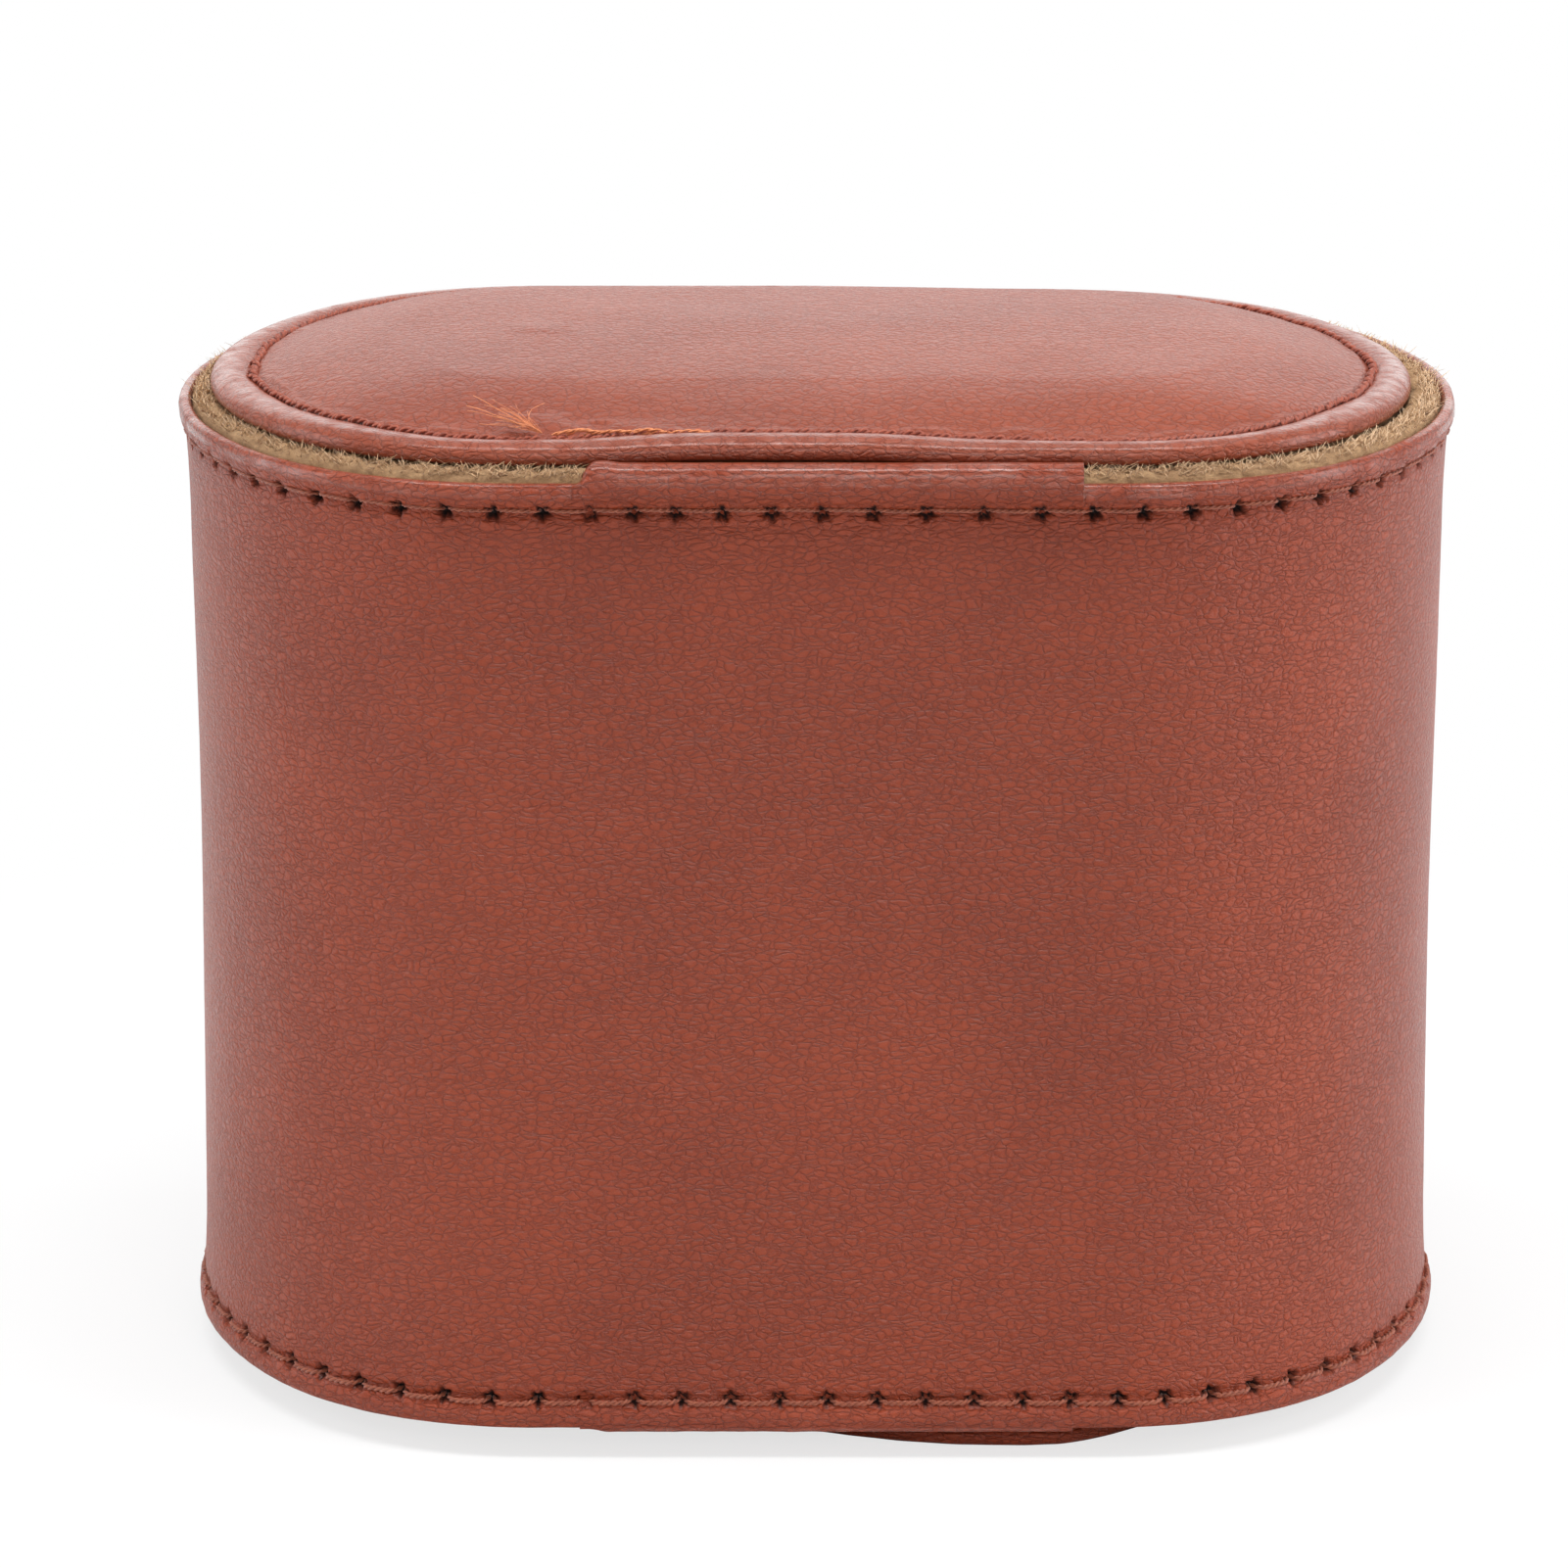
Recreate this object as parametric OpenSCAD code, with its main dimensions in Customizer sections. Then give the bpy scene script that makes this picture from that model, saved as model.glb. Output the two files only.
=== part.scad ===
// Oval travel case for one watch, standing on one end.
// Millimetres. +Z runs up the tube, X is the width and -Y is the seen front face.
// The origin is the middle of the base, with z = 0 on the flat of the bottom pad.

/* [Body] */
// Width of the wall at mid height, along X
case_w = 107.4; // [102:0.2:114]
// Depth of the wall at mid height, along Y
case_d = 73.4; // [68:0.2:78]
// Height from the lower rim roll to the upper rim roll
wall_h = 81; // [70:0.5:90]
// Length of each rounded end, along X
end_run = 29.7; // [29:0.1:31]
// Radius of the four round corners
corner_r = 26.7; // [26:0.1:28]

/* [Wall layers] */
// Thickness of the outer leather
leather_t = 1; // [0.8:0.1:1.2]
// Thickness of the stiffening board
board_t = 1.2; // [1:0.1:1.4]
// Thickness of the felt lining
felt_t = 1.2; // [1:0.1:1.6]
// How far the rim rolls stand out from the wall
roll_out = 0.8; // [0.7:0.1:1.4]
// Height of the rim rolls
roll_h = 1.9; // [1.6:0.1:2.2]
// How far the felt edge stands above the upper rim roll
felt_proud = 0.3; // [0:0.1:1.2]
// How far the felt edge stays inside the lower rim roll
felt_recess = 0.4; // [0.2:0.1:0.8]

/* [End lids] */
// Inset of the lid edge from the wall outline
lid_inset = 1.95; // [1.6:0.05:2.4]
// Height of the upper lid's crown above the rim roll
crown_h = 5.9; // [5:0.1:8]
// Thickness of the upper lid at its edge
crown_edge = 1.9; // [1.6:0.1:2.4]
// Depth of the lower pad below the rim roll
base_drop = 2.6; // [2.2:0.1:3.4]
// Inset of the lid's stitch line from the lid edge
lid_stitch_in = 3.3; // [2.6:0.1:4]
// Width of the two folded hinge strips
strip_w = 41.5; // [34:0.5:43]
// Offset of the hinge strips along X
strip_x = 1.8; // [0:0.1:2]

/* [Rear flap] */
// From the wall's left end to the rear opening, along X
flap_in_left = 21.2; // [20.5:0.1:23]
// From the wall's right end to the rear opening, along X
flap_in_right = 31.2; // [31:0.1:33]
// Width of the closing tab, along Z
tab_w = 26; // [20:1:32]
// From the wall's left end to the middle of the snap, along X
snap_in = 15.7; // [15:0.1:16.2]

/* [Pillow] */
// Width of the watch pillow
pillow_w = 84; // [76:1:88]
// Depth of the watch pillow
pillow_d = 50; // [44:1:54]

/* [Hidden] */
$fn = 96;

gap = 0.3;
fit_gap = 0.5;
cut = 400;
z0 = base_drop;
z1 = base_drop + wall_h;
mid_z = (z0 + z1) / 2;
wall_t = leather_t + board_t + felt_t;
front_y = -case_d / 2;
corner_y = case_d / 2 - corner_r;
flat_half = case_w / 2 - end_run;
end_r = (end_run * end_run + corner_y * corner_y - corner_r * corner_r)
  / (2 * (end_run - corner_r));
end_x = case_w / 2 - end_r;
end_a = atan2(corner_y, flat_half - end_x);
lap = 0.05;
roll_in = -0.3;
roll_step = 0.3;
felt_step = 0.4;
swell = 0.3;
swell_h = 4.5;
rim_z = roll_h + 2 * lap;
thread_h = 0.6;
thread_t = 0.3;
stitch_z = rim_z + 2 * lap;
seat = felt_proud + gap;
skin = 0.9;
hem_t = 0.5;
hem_w = 5;
lid_board_t = 1.5;
base_board_t = 0.8;
foot_h = 0.95;
foot_steps = 3;
terraces = 5;
terrace_w = 4.5;
seam_ledge = 0.7;
foot_in = 2.6;
pad_seam_in = 1;
pad_sink = 1.2;
pad_plug_h = 1.8;
plug_h = 3;
plug_in = wall_t + fit_gap;
strip_t = 0.9;
strip_lift = 0.02;
strip_side = 0.1;
strip_lean = 0.7;
lie = 0.02;
flap_strip_w = 16;
flap_strip_end = 0.5;
flap_clear = 0.8;
hinge_clear = 1;
board_clear = 1;
row_clear = 2;
gap_left = case_w / 2 - flap_in_left;
gap_right = case_w / 2 - flap_in_right;
hinge_x = gap_right - hinge_clear / 2;
hinge_recess = 3;
tab_t = 1.1;
tab_reach = 7.6;
tab_lap = 17.5;
tab_seam_in = 1.6;
top_apex = crown_h - seat;
base_top = base_drop + pad_sink;
snap_x = case_w / 2 - snap_in;
snap_tilt = asin((snap_x - flat_half) / corner_r);
post_r = 1.25;
post_foot_r = 3.2;
post_foot_t = 0.5;
post_foot_sink = 0.1;
stud_r = 1.7;
stud_lip_r = 2;
stud_h = 1.1;
stud_lip_h = 0.5;
stud_plate_r = 3;
stud_plate_t = 0.28;
socket_r = 3.5;
socket_in_r = 2.7;
socket_low = 0.45;
cap_r = 4.5;
cap_h = 1.1;
cap_ball = 14;
pillow_clear = 0.4;
pillow_end_r = 150;
cover_t = 1;

leather_c = [0.55, 0.27, 0.17];
felt_c = [0.60, 0.50, 0.33];
board_c = [0.62, 0.56, 0.46];
thread_c = [0.50, 0.22, 0.13];
foam_c = [0.85, 0.82, 0.72];
steel_c = [0.72, 0.70, 0.66];
suede_c = [0.42, 0.30, 0.20];

// Plan of the tube: flat faces, round corners and wide end arcs.
module oval(off = 0) {
  square([2 * flat_half, case_d + 2 * off], center = true);
  for (side = [0, 180]) {
    rotate(side) {
      for (m = [-1, 1]) {
        translate([flat_half, m * corner_y]) circle(corner_r + off);
      }
      intersection() {
        translate([end_x, 0]) circle(end_r + off);
        polygon([[end_x, 0],
          [end_x + case_w, case_w * tan(end_a)],
          [end_x + case_w, -case_w * tan(end_a)]]);
      }
    }
  }
}

// A layer of the wall between two offsets of the plan.
module band(outer, inner, low, high) {
  translate([0, 0, low]) linear_extrude(high - low) difference() {
    oval(outer);
    oval(inner);
  }
}

// The rear opening, widened or narrowed at its two sides.
module rear_gap(left = 0, right = 0) {
  translate([-gap_left - left, 0, 0]) cube([gap_left + gap_right + left + right, cut, cut]);
}

// Outer leather of the whole tube, with its swelling and rolled rims.
module wall_leather() {
  band(0, -leather_t, z0 + rim_z, z1 - rim_z);
  band(swell, -lap, z0 + rim_z, z0 + swell_h);
  band(swell, -lap, z1 - swell_h, z1 - rim_z);
  band(roll_out, roll_in, z0 + roll_step, z0 + rim_z + lap);
  band(roll_out - roll_step, roll_in, z0, z0 + roll_step + lap);
  band(roll_out, roll_in, z1 - rim_z - lap, z1 - roll_step);
  band(roll_out - roll_step, roll_in, z1 - roll_step - lap, z1);
}

// Felt of the whole tube, which also wraps both edges of the board.
module wall_felt() {
  band(-leather_t - board_t, -wall_t, z0 + rim_z - lap, z1 - rim_z + lap);
  band(roll_in - felt_step, -wall_t + felt_step, z0 + felt_recess, z0 + felt_recess + felt_step + lap);
  band(roll_in - felt_step, -wall_t + felt_step, z1 + felt_proud - felt_step - lap, z1 + felt_proud);
  band(roll_in, -wall_t, z0 + felt_recess + felt_step, z0 + rim_z);
  band(roll_in, -wall_t, z1 - rim_z, z1 + felt_proud - felt_step);
}

// Room for a hinge strip where it replaces the rim roll.
module strip_room(low, high) {
  translate([strip_x - strip_w / 2 - strip_side, front_y - 2 * roll_out, low])
    cube([strip_w + 2 * strip_side, 2 * roll_out - roll_in, high - low]);
}

// Places a body on the axis of the snap, with its origin on the wall's face.
module at_snap() {
  translate([-flat_half, corner_y, mid_z]) rotate([0, 0, snap_tilt]) rotate([-90, 0, 0])
    translate([0, 0, corner_r]) children();
}

// Hole for the snap's post through the wall.
module post_hole() {
  at_snap() cylinder(h = 4 * wall_t, r = post_r + lap, center = true);
}

module shell_leather() {
  color(leather_c) difference() {
    wall_leather();
    rear_gap();
    strip_room(z0 - lap, z0 + swell_h);
    strip_room(z1 - swell_h, z1 + lap);
    post_hole();
  }
}

module shell_board() {
  color(board_c) difference() {
    band(-leather_t, -leather_t - board_t, z0 + rim_z, z1 - rim_z);
    rear_gap(board_clear, board_clear);
    post_hole();
  }
}

module shell_lining() {
  color(felt_c) difference() {
    wall_felt();
    rear_gap();
    post_hole();
  }
}

module rim_thread_row(low) {
  band(swell + thread_t, swell, low, low + thread_h);
}

module top_rim_thread() {
  color(thread_c) difference() {
    rim_thread_row(z1 - stitch_z - thread_h);
    rear_gap(row_clear, row_clear);
    strip_room(z1 - swell_h, z1);
  }
}

module bottom_rim_thread() {
  color(thread_c) difference() {
    rim_thread_row(z0 + stitch_z);
    rear_gap(row_clear, row_clear);
    strip_room(z0, z0 + swell_h);
  }
}

// Leather strip folded over the rim and the felt edge to the lid at a given inset.
module hinge_strip(felt, lid_in) {
  inner = -roll_in - lie;
  low = -swell_h + strip_side;
  lid_end = lid_in - strip_side;
  translate([strip_x - strip_w / 2, front_y, 0]) rotate([90, 0, 90]) linear_extrude(strip_w)
    polygon([[inner, low], [-roll_out, low], [-roll_out, felt + strip_side],
      [strip_lean - roll_out, felt + strip_t], [lid_end, felt + strip_t],
      [lid_end, felt + strip_lift], [inner, felt + strip_lift]]);
}

module top_hinge_strip() {
  color(leather_c) translate([0, 0, z1]) hinge_strip(felt_proud, lid_inset);
}

module bottom_hinge_strip() {
  color(leather_c) translate([0, 0, z0]) mirror([0, 0, 1]) hinge_strip(-felt_recess, plug_in);
}

// Upright leather strip at the right side of the rear opening.
module flap_hinge_strip() {
  color(leather_c) intersection() {
    band(strip_t, lie, z0 + swell_h + flap_strip_end, z1 - swell_h - flap_strip_end);
    translate([hinge_x - flap_strip_w / 2, 0, 0]) cube([flap_strip_w, cut, cut]);
  }
}

module snap_stud() {
  color(steel_c) at_snap() union() {
    translate([0, 0, lie]) cylinder(h = stud_plate_t, r = stud_plate_r);
    translate([0, 0, lie]) cylinder(h = stud_h, r = stud_r);
    translate([0, 0, lie + stud_h - stud_lip_h]) cylinder(h = stud_lip_h, r = stud_lip_r);
  }
}

module snap_post() {
  color(steel_c) at_snap() union() {
    translate([0, 0, -wall_t - gap - post_foot_t]) cylinder(h = post_foot_t, r = post_foot_r);
    translate([0, 0, -wall_t - gap - post_foot_sink]) cylinder(h = wall_t + gap + post_foot_sink, r = post_r);
  }
}

// The flap's share of a layer: the rear opening less its clearances.
module flap_part(left, right) {
  intersection() {
    children();
    translate([-gap_left + left, 0, 0])
      cube([gap_left + gap_right - left - right, cut, cut]);
  }
}

module flap_leather() {
  color(leather_c) flap_part(flap_clear, hinge_clear) difference() {
    wall_leather();
    translate([hinge_x - hinge_recess, case_d / 2, 0]) cube([cut, cut, cut]);
  }
}

module flap_board() {
  color(board_c) flap_part(flap_clear + board_clear, hinge_clear + board_clear)
    band(-leather_t, -leather_t - board_t, z0 + rim_z, z1 - rim_z);
}

module flap_lining() {
  color(felt_c) flap_part(flap_clear, hinge_clear) wall_felt();
}

module flap_rim_thread() {
  color(thread_c) flap_part(flap_clear + row_clear, hinge_recess + row_clear) union() {
    rim_thread_row(z0 + stitch_z);
    rim_thread_row(z1 - stitch_z - thread_h);
  }
}

// Outline of the closing tab, seen from behind.
module tab_plan(in = 0) {
  tip_x = tab_w / 2 - snap_x - tab_reach;
  root_x = tab_lap - gap_left;
  translate([tip_x, 0]) circle(tab_w / 2 - in);
  translate([tip_x, in - tab_w / 2]) square([root_x - tip_x - in, tab_w - 2 * in]);
}

module tab_prism(in = 0) {
  translate([0, cut, mid_z]) rotate([90, 0, 0]) linear_extrude(cut) tab_plan(in);
}

module flap_tab() {
  color(leather_c) difference() {
    intersection() {
      union() {
        band(gap + tab_t, gap, mid_z - tab_w, mid_z + tab_w);
        flap_part(flap_clear, hinge_clear)
          band(gap + tab_t, lie, mid_z - tab_w, mid_z + tab_w);
      }
      tab_prism();
    }
    at_snap() cylinder(h = 4 * wall_t, r = socket_r + 2 * lap, center = true);
  }
}

module flap_tab_thread() {
  color(thread_c) intersection() {
    band(gap + tab_t + thread_t, gap + tab_t, mid_z - tab_w, mid_z + tab_w);
    difference() {
      tab_prism(tab_seam_in);
      tab_prism(tab_seam_in + thread_h);
    }
  }
}

module snap_cap() {
  color(steel_c) at_snap() intersection() {
    translate([0, 0, gap + tab_t]) cylinder(h = 2 * cap_h, r = cap_r);
    translate([0, 0, gap + tab_t + cap_h - cap_ball]) sphere(cap_ball);
  }
}

module snap_socket() {
  color(steel_c) at_snap() difference() {
    translate([0, 0, socket_low]) cylinder(h = gap + tab_t - socket_low, r = socket_r);
    cylinder(h = 4 * tab_t, r = socket_in_r, center = true);
  }
}

// A lid is drawn with its seat at z = 0 and its outer face upwards.
// The upper lid's crown rises in terraces, which follow a quarter wave.
function terrace_in(i) = i == 0 ? 0 : lid_stitch_in + thread_h + seam_ledge + (i - 1) * terrace_w;
function terrace_z(i) = crown_edge + (top_apex - crown_edge) * sin(90 * i / (terraces - 1));

module crown_block(less, low) {
  for (i = [0:terraces - 1]) {
    translate([0, 0, low]) linear_extrude(terrace_z(i) - less - low)
      oval(-lid_inset - terrace_in(i) - less);
  }
}

// The lower pad's block is pressed flat, with its foot set in from its edge in steps.
module foot_block(less, low) {
  for (i = [0:foot_steps - 1]) {
    translate([0, 0, low]) linear_extrude(base_top - (foot_steps - 1 - i) * foot_h - less - low)
      oval(-plug_in - i * foot_in - less);
  }
}

module hem_hole(lid_in) {
  translate([0, 0, -lap]) linear_extrude(hem_t + 2 * lap) oval(-lid_in - hem_w);
}

module board_slab(thick) {
  translate([-cut / 2, -cut / 2, hem_t - lap]) cube([cut, cut, thick + lap]);
}

module lid_lining(lid_in, plug, height) {
  translate([0, 0, -height]) linear_extrude(height) oval(-plug);
  translate([0, 0, -lap]) linear_extrude(hem_t + lap) oval(-lid_in - hem_w);
}

module place_top() {
  translate([0, 0, z1 + seat]) children();
}

module place_base() {
  translate([0, 0, z0 + pad_sink]) mirror([0, 0, 1]) children();
}

module top_lid_leather() {
  color(leather_c) place_top() difference() {
    crown_block(0, 0);
    crown_block(skin, hem_t);
    hem_hole(lid_inset);
  }
}

module top_lid_foam() {
  color(foam_c) place_top() difference() {
    crown_block(skin, hem_t);
    board_slab(lid_board_t);
  }
}

module top_lid_board() {
  color(board_c) place_top() translate([0, 0, hem_t]) linear_extrude(lid_board_t)
    oval(-lid_inset - terrace_in(1) - skin);
}

module top_lid_lining() {
  color(felt_c) place_top() lid_lining(lid_inset, plug_in, plug_h);
}

module top_lid_thread() {
  in = lid_inset + lid_stitch_in;
  color(thread_c) place_top() translate([0, 0, crown_edge]) linear_extrude(thread_t)
    difference() {
      oval(-in);
      oval(-in - thread_h);
    }
}

module bottom_lid_leather() {
  color(leather_c) place_base() difference() {
    foot_block(0, 0);
    foot_block(skin, hem_t);
    hem_hole(plug_in);
  }
}

module bottom_lid_foam() {
  color(foam_c) place_base() difference() {
    foot_block(skin, hem_t);
    board_slab(base_board_t);
  }
}

module bottom_lid_board() {
  color(board_c) place_base() translate([0, 0, hem_t]) linear_extrude(base_board_t)
    oval(-plug_in - foot_in - skin);
}

module bottom_lid_lining() {
  color(felt_c) place_base() lid_lining(plug_in, plug_in + gap, pad_plug_h);
}

// The lower pad's seam sits on its outermost step, clear of the base plane.
module bottom_lid_thread() {
  in = plug_in + pad_seam_in;
  low = base_top - (foot_steps - 1) * foot_h;
  color(thread_c) place_base() translate([0, 0, low]) linear_extrude(thread_t) difference() {
    oval(-in);
    oval(-in - thread_h);
  }
}

// Round bar that crowns one end of the pillow.
module pillow_end(y, z, less) {
  translate([0, y, z]) rotate([90, 0, 0]) cylinder(h = cut, r = pillow_end_r - less, center = true);
}

// Watch pillow, standing against the front wall.
module pillow_block(less = 0) {
  low = z0 + pad_sink + pad_plug_h + pillow_clear;
  high = z1 + seat - plug_h - pillow_clear;
  cy = front_y + wall_t + pillow_d / 2;
  intersection() {
    translate([0, cy, low + less]) linear_extrude(high - low - 2 * less) union() {
      square([pillow_w - pillow_d, pillow_d - 2 * less], center = true);
      for (m = [-1, 1]) {
        translate([m * (pillow_w - pillow_d) / 2, 0]) circle(pillow_d / 2 - less);
      }
    }
    pillow_end(cy, low + pillow_end_r, less);
    pillow_end(cy, high - pillow_end_r, less);
  }
}

module pillow_cover() {
  color(suede_c) difference() {
    pillow_block();
    pillow_block(cover_t);
  }
}

module pillow_foam() {
  color(foam_c) pillow_block(cover_t);
}

shell_leather();
shell_board();
shell_lining();
top_rim_thread();
bottom_rim_thread();
top_hinge_strip();
bottom_hinge_strip();
flap_hinge_strip();
snap_stud();
snap_post();
flap_leather();
flap_board();
flap_lining();
flap_rim_thread();
flap_tab();
flap_tab_thread();
snap_cap();
snap_socket();
top_lid_leather();
top_lid_foam();
top_lid_board();
top_lid_lining();
top_lid_thread();
bottom_lid_leather();
bottom_lid_foam();
bottom_lid_board();
bottom_lid_lining();
bottom_lid_thread();
pillow_cover();
pillow_foam();
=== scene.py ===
"""Oval leather travel case for a watch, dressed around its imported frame."""
import math
import random

import bmesh
import bpy
import numpy as np
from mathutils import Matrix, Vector, noise

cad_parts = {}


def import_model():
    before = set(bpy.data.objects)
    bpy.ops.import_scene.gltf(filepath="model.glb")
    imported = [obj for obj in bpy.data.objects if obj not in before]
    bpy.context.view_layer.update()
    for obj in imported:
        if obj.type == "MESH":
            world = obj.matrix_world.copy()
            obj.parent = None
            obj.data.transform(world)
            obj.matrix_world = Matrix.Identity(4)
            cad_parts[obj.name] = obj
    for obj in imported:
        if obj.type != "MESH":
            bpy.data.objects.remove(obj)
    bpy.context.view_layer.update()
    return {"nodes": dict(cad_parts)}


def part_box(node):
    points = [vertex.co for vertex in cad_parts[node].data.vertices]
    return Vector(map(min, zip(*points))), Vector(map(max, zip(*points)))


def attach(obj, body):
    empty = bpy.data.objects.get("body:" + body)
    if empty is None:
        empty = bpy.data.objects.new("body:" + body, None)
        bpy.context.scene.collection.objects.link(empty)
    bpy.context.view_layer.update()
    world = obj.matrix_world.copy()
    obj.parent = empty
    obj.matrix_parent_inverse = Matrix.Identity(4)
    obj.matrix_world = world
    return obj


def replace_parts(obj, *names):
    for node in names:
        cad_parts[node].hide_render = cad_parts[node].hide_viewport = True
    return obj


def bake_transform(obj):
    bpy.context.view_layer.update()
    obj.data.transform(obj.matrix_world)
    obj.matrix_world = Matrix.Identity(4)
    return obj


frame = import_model()

MM = 0.001
PROFILE_STEP = 0.22

# Driving sizes of the case, in millimetres.
CASE_W = 107.4
CASE_D = 73.4
FLAT_HALF = 24.0
CORNER_R = 26.7
Z0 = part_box("shell_leather")[0][2] / MM
Z1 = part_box("shell_leather")[1][2] / MM
MID_Z = (Z0 + Z1) / 2
SEAT_Z = Z1 + 0.75
PAD_Z = Z0 + 1.2
LID_INSET = 1.95
CROWN_Z = 5.25
GAP_LEFT = 32.5
GAP_RIGHT = 22.5
STRIP_W = 40.3
STRIP_X = 1.2
STITCH_TOP = Z1 - 2.45
STITCH_LOW = Z0 + 2.45
STITCH_PITCH = 4.02
LID_STITCH_IN = 3.7
LID_STITCH_PITCH = 2.2
PAD_STITCH_IN = 5.3
HINGE_X = GAP_RIGHT - 0.5

CORNER_Y = CASE_D / 2 - CORNER_R
END_RUN = CASE_W / 2 - FLAT_HALF
END_R = (END_RUN ** 2 + CORNER_Y ** 2 - CORNER_R ** 2) / (2 * (END_RUN - CORNER_R))
END_X = CASE_W / 2 - END_R
END_A = math.atan2(CORNER_Y, FLAT_HALF - END_X)
QUARTER = math.pi / 2
CORNER_LEN = CORNER_R * (QUARTER - END_A)
END_LEN = 2 * END_R * END_A
ROUND_LEN = 4 * FLAT_HALF + 4 * CORNER_LEN + 2 * END_LEN

# Stretches of the plan: kind, length, centre or start, radius, first angle.
PLAN = [
    ("line", FLAT_HALF, (0, -CASE_D / 2), 1),
    ("arc", CORNER_LEN, (FLAT_HALF, -CORNER_Y), CORNER_R, -QUARTER),
    ("arc", END_LEN, (END_X, 0), END_R, -END_A),
    ("arc", CORNER_LEN, (FLAT_HALF, CORNER_Y), CORNER_R, END_A),
    ("line", 2 * FLAT_HALF, (FLAT_HALF, CASE_D / 2), -1),
    ("arc", CORNER_LEN, (-FLAT_HALF, CORNER_Y), CORNER_R, QUARTER),
    ("arc", END_LEN, (-END_X, 0), END_R, math.pi - END_A),
    ("arc", CORNER_LEN, (-FLAT_HALF, -CORNER_Y), CORNER_R, math.pi + END_A),
    ("line", FLAT_HALF, (-FLAT_HALF, -CASE_D / 2), 1),
]
REAR_START = FLAT_HALF + 2 * CORNER_LEN + END_LEN
GAP_S0 = REAR_START + FLAT_HALF - GAP_RIGHT
GAP_S1 = REAR_START + 2 * FLAT_HALF + CORNER_R * math.asin((GAP_LEFT - FLAT_HALF) / CORNER_R)


def station(s):
    """Point and outward normal of the plan at distance s, which starts at the middle of the front."""
    s = s % ROUND_LEN
    for kind, length, centre, size, *first in PLAN:
        if s <= length:
            if kind == "line":
                return centre[0] + size * s, centre[1], 0.0, math.copysign(1, centre[1])
            a = first[0] + s / size
            return (centre[0] + size * math.cos(a), centre[1] + size * math.sin(a),
                    math.cos(a), math.sin(a))
        s -= length
    return 0.0, -CASE_D / 2, 0.0, -1.0


def stations(s0, s1, step):
    count = max(2, int(round((s1 - s0) / step)) + 1)
    along = np.linspace(s0, s1, count)
    return along, np.array([station(s) for s in along])


def at(stat, off, z):
    """Points at an offset from the plan, in metres."""
    return np.stack([stat[..., 0] + stat[..., 2] * off, stat[..., 1] + stat[..., 3] * off,
                     np.broadcast_to(z, np.shape(off))], -1) * MM


def smooth_line(points, rounds=2):
    """Corner cutting, which keeps the two ends."""
    pts = np.array(points, float)
    for _ in range(rounds):
        q = pts[:-1] * 0.75 + pts[1:] * 0.25
        r = pts[:-1] * 0.25 + pts[1:] * 0.75
        mid = np.empty((2 * len(q), pts.shape[1]))
        mid[0::2], mid[1::2] = q, r
        pts = np.vstack([pts[:1], mid, pts[-1:]])
    return pts


def resample(points, step):
    pts = np.array(points, float)
    d = np.r_[0, np.cumsum(np.linalg.norm(np.diff(pts, axis=0), axis=1))]
    n = max(2, int(round(d[-1] / step)) + 1)
    t = np.linspace(0, d[-1], n)
    return np.stack([np.interp(t, d, pts[:, k]) for k in range(pts.shape[1])], -1)


def new_object(name, verts, faces, mat, body, layers=None):
    mesh = bpy.data.meshes.new(name)
    mesh.from_pydata([tuple(v) for v in verts], [], faces)
    mesh.validate(verbose=False)
    for key, values in (layers or {}).items():
        layer = mesh.attributes.new(key, "FLOAT", "POINT")
        layer.data.foreach_set("value", np.asarray(values, np.float32).reshape(-1))
    mesh.update()
    mesh.polygons.foreach_set("use_smooth", [True] * len(mesh.polygons))
    obj = bpy.data.objects.new(name, mesh)
    bpy.context.scene.collection.objects.link(obj)
    mesh.materials.append(mat)
    if body:
        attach(obj, body)
    return obj


def place(obj, body, cad_node, slot, z=0.0):
    """Lifts a piece to its height, hangs it on its body and hides the CAD node it replaces; the slot is not
    used.
    """
    obj.location = (0, 0, z * MM)
    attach(obj, body)
    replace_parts(obj, cad_node)


def grid_faces(rows, cols, flip=False, ring=True):
    """Quads of a grid of points whose rows are closed rings, or open lines."""
    faces = []
    for i in range(rows - 1):
        for j in range(cols if ring else cols - 1):
            a, b = i * cols + j, i * cols + (j + 1) % cols
            faces.append((a + cols, b + cols, b, a) if flip else (a, b, b + cols, a + cols))
    return faces


def swept(name, grid, mat, body, layers=None, flip=False):
    """A solid from a grid of points, each row the closed section at a station, with end caps."""
    rows, cols = grid.shape[:2]
    first = tuple(range(cols))
    last = tuple((rows - 1) * cols + j for j in range(cols))
    caps = [first, last[::-1]] if flip else [first[::-1], last]
    return new_object(name, grid.reshape(-1, 3), grid_faces(rows, cols, flip) + caps, mat, body, layers)


def tidy_normals(obj, weld=None, first=0, close=False):
    """Turns all faces outwards; may weld the corners from the first on, and close open borders."""
    bm = bmesh.new()
    bm.from_mesh(obj.data)
    bm.verts.ensure_lookup_table()
    if weld:
        bmesh.ops.remove_doubles(bm, verts=bm.verts[first:], dist=weld)
    if close:
        bmesh.ops.holes_fill(bm, edges=[e for e in bm.edges if e.is_boundary], sides=0)
    bmesh.ops.recalc_face_normals(bm, faces=bm.faces)
    bm.to_mesh(obj.data)
    bm.free()


def ripple(points, scale, seed=0.0):
    """Smooth noise at each point, with the points in millimetres."""
    flat = points.reshape(-1, 3) * scale + seed
    return np.array([noise.noise(Vector(p)) for p in flat]).reshape(points.shape[:-1])


# ---------------------------------------------------------------- materials

def rgb(r, g, b):
    return (r, g, b, 1.0)


def grey(v):
    return rgb(v, v, v)


def material(name):
    mat = bpy.data.materials.new(name)
    mat.use_nodes = True
    return mat, mat.node_tree


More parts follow.
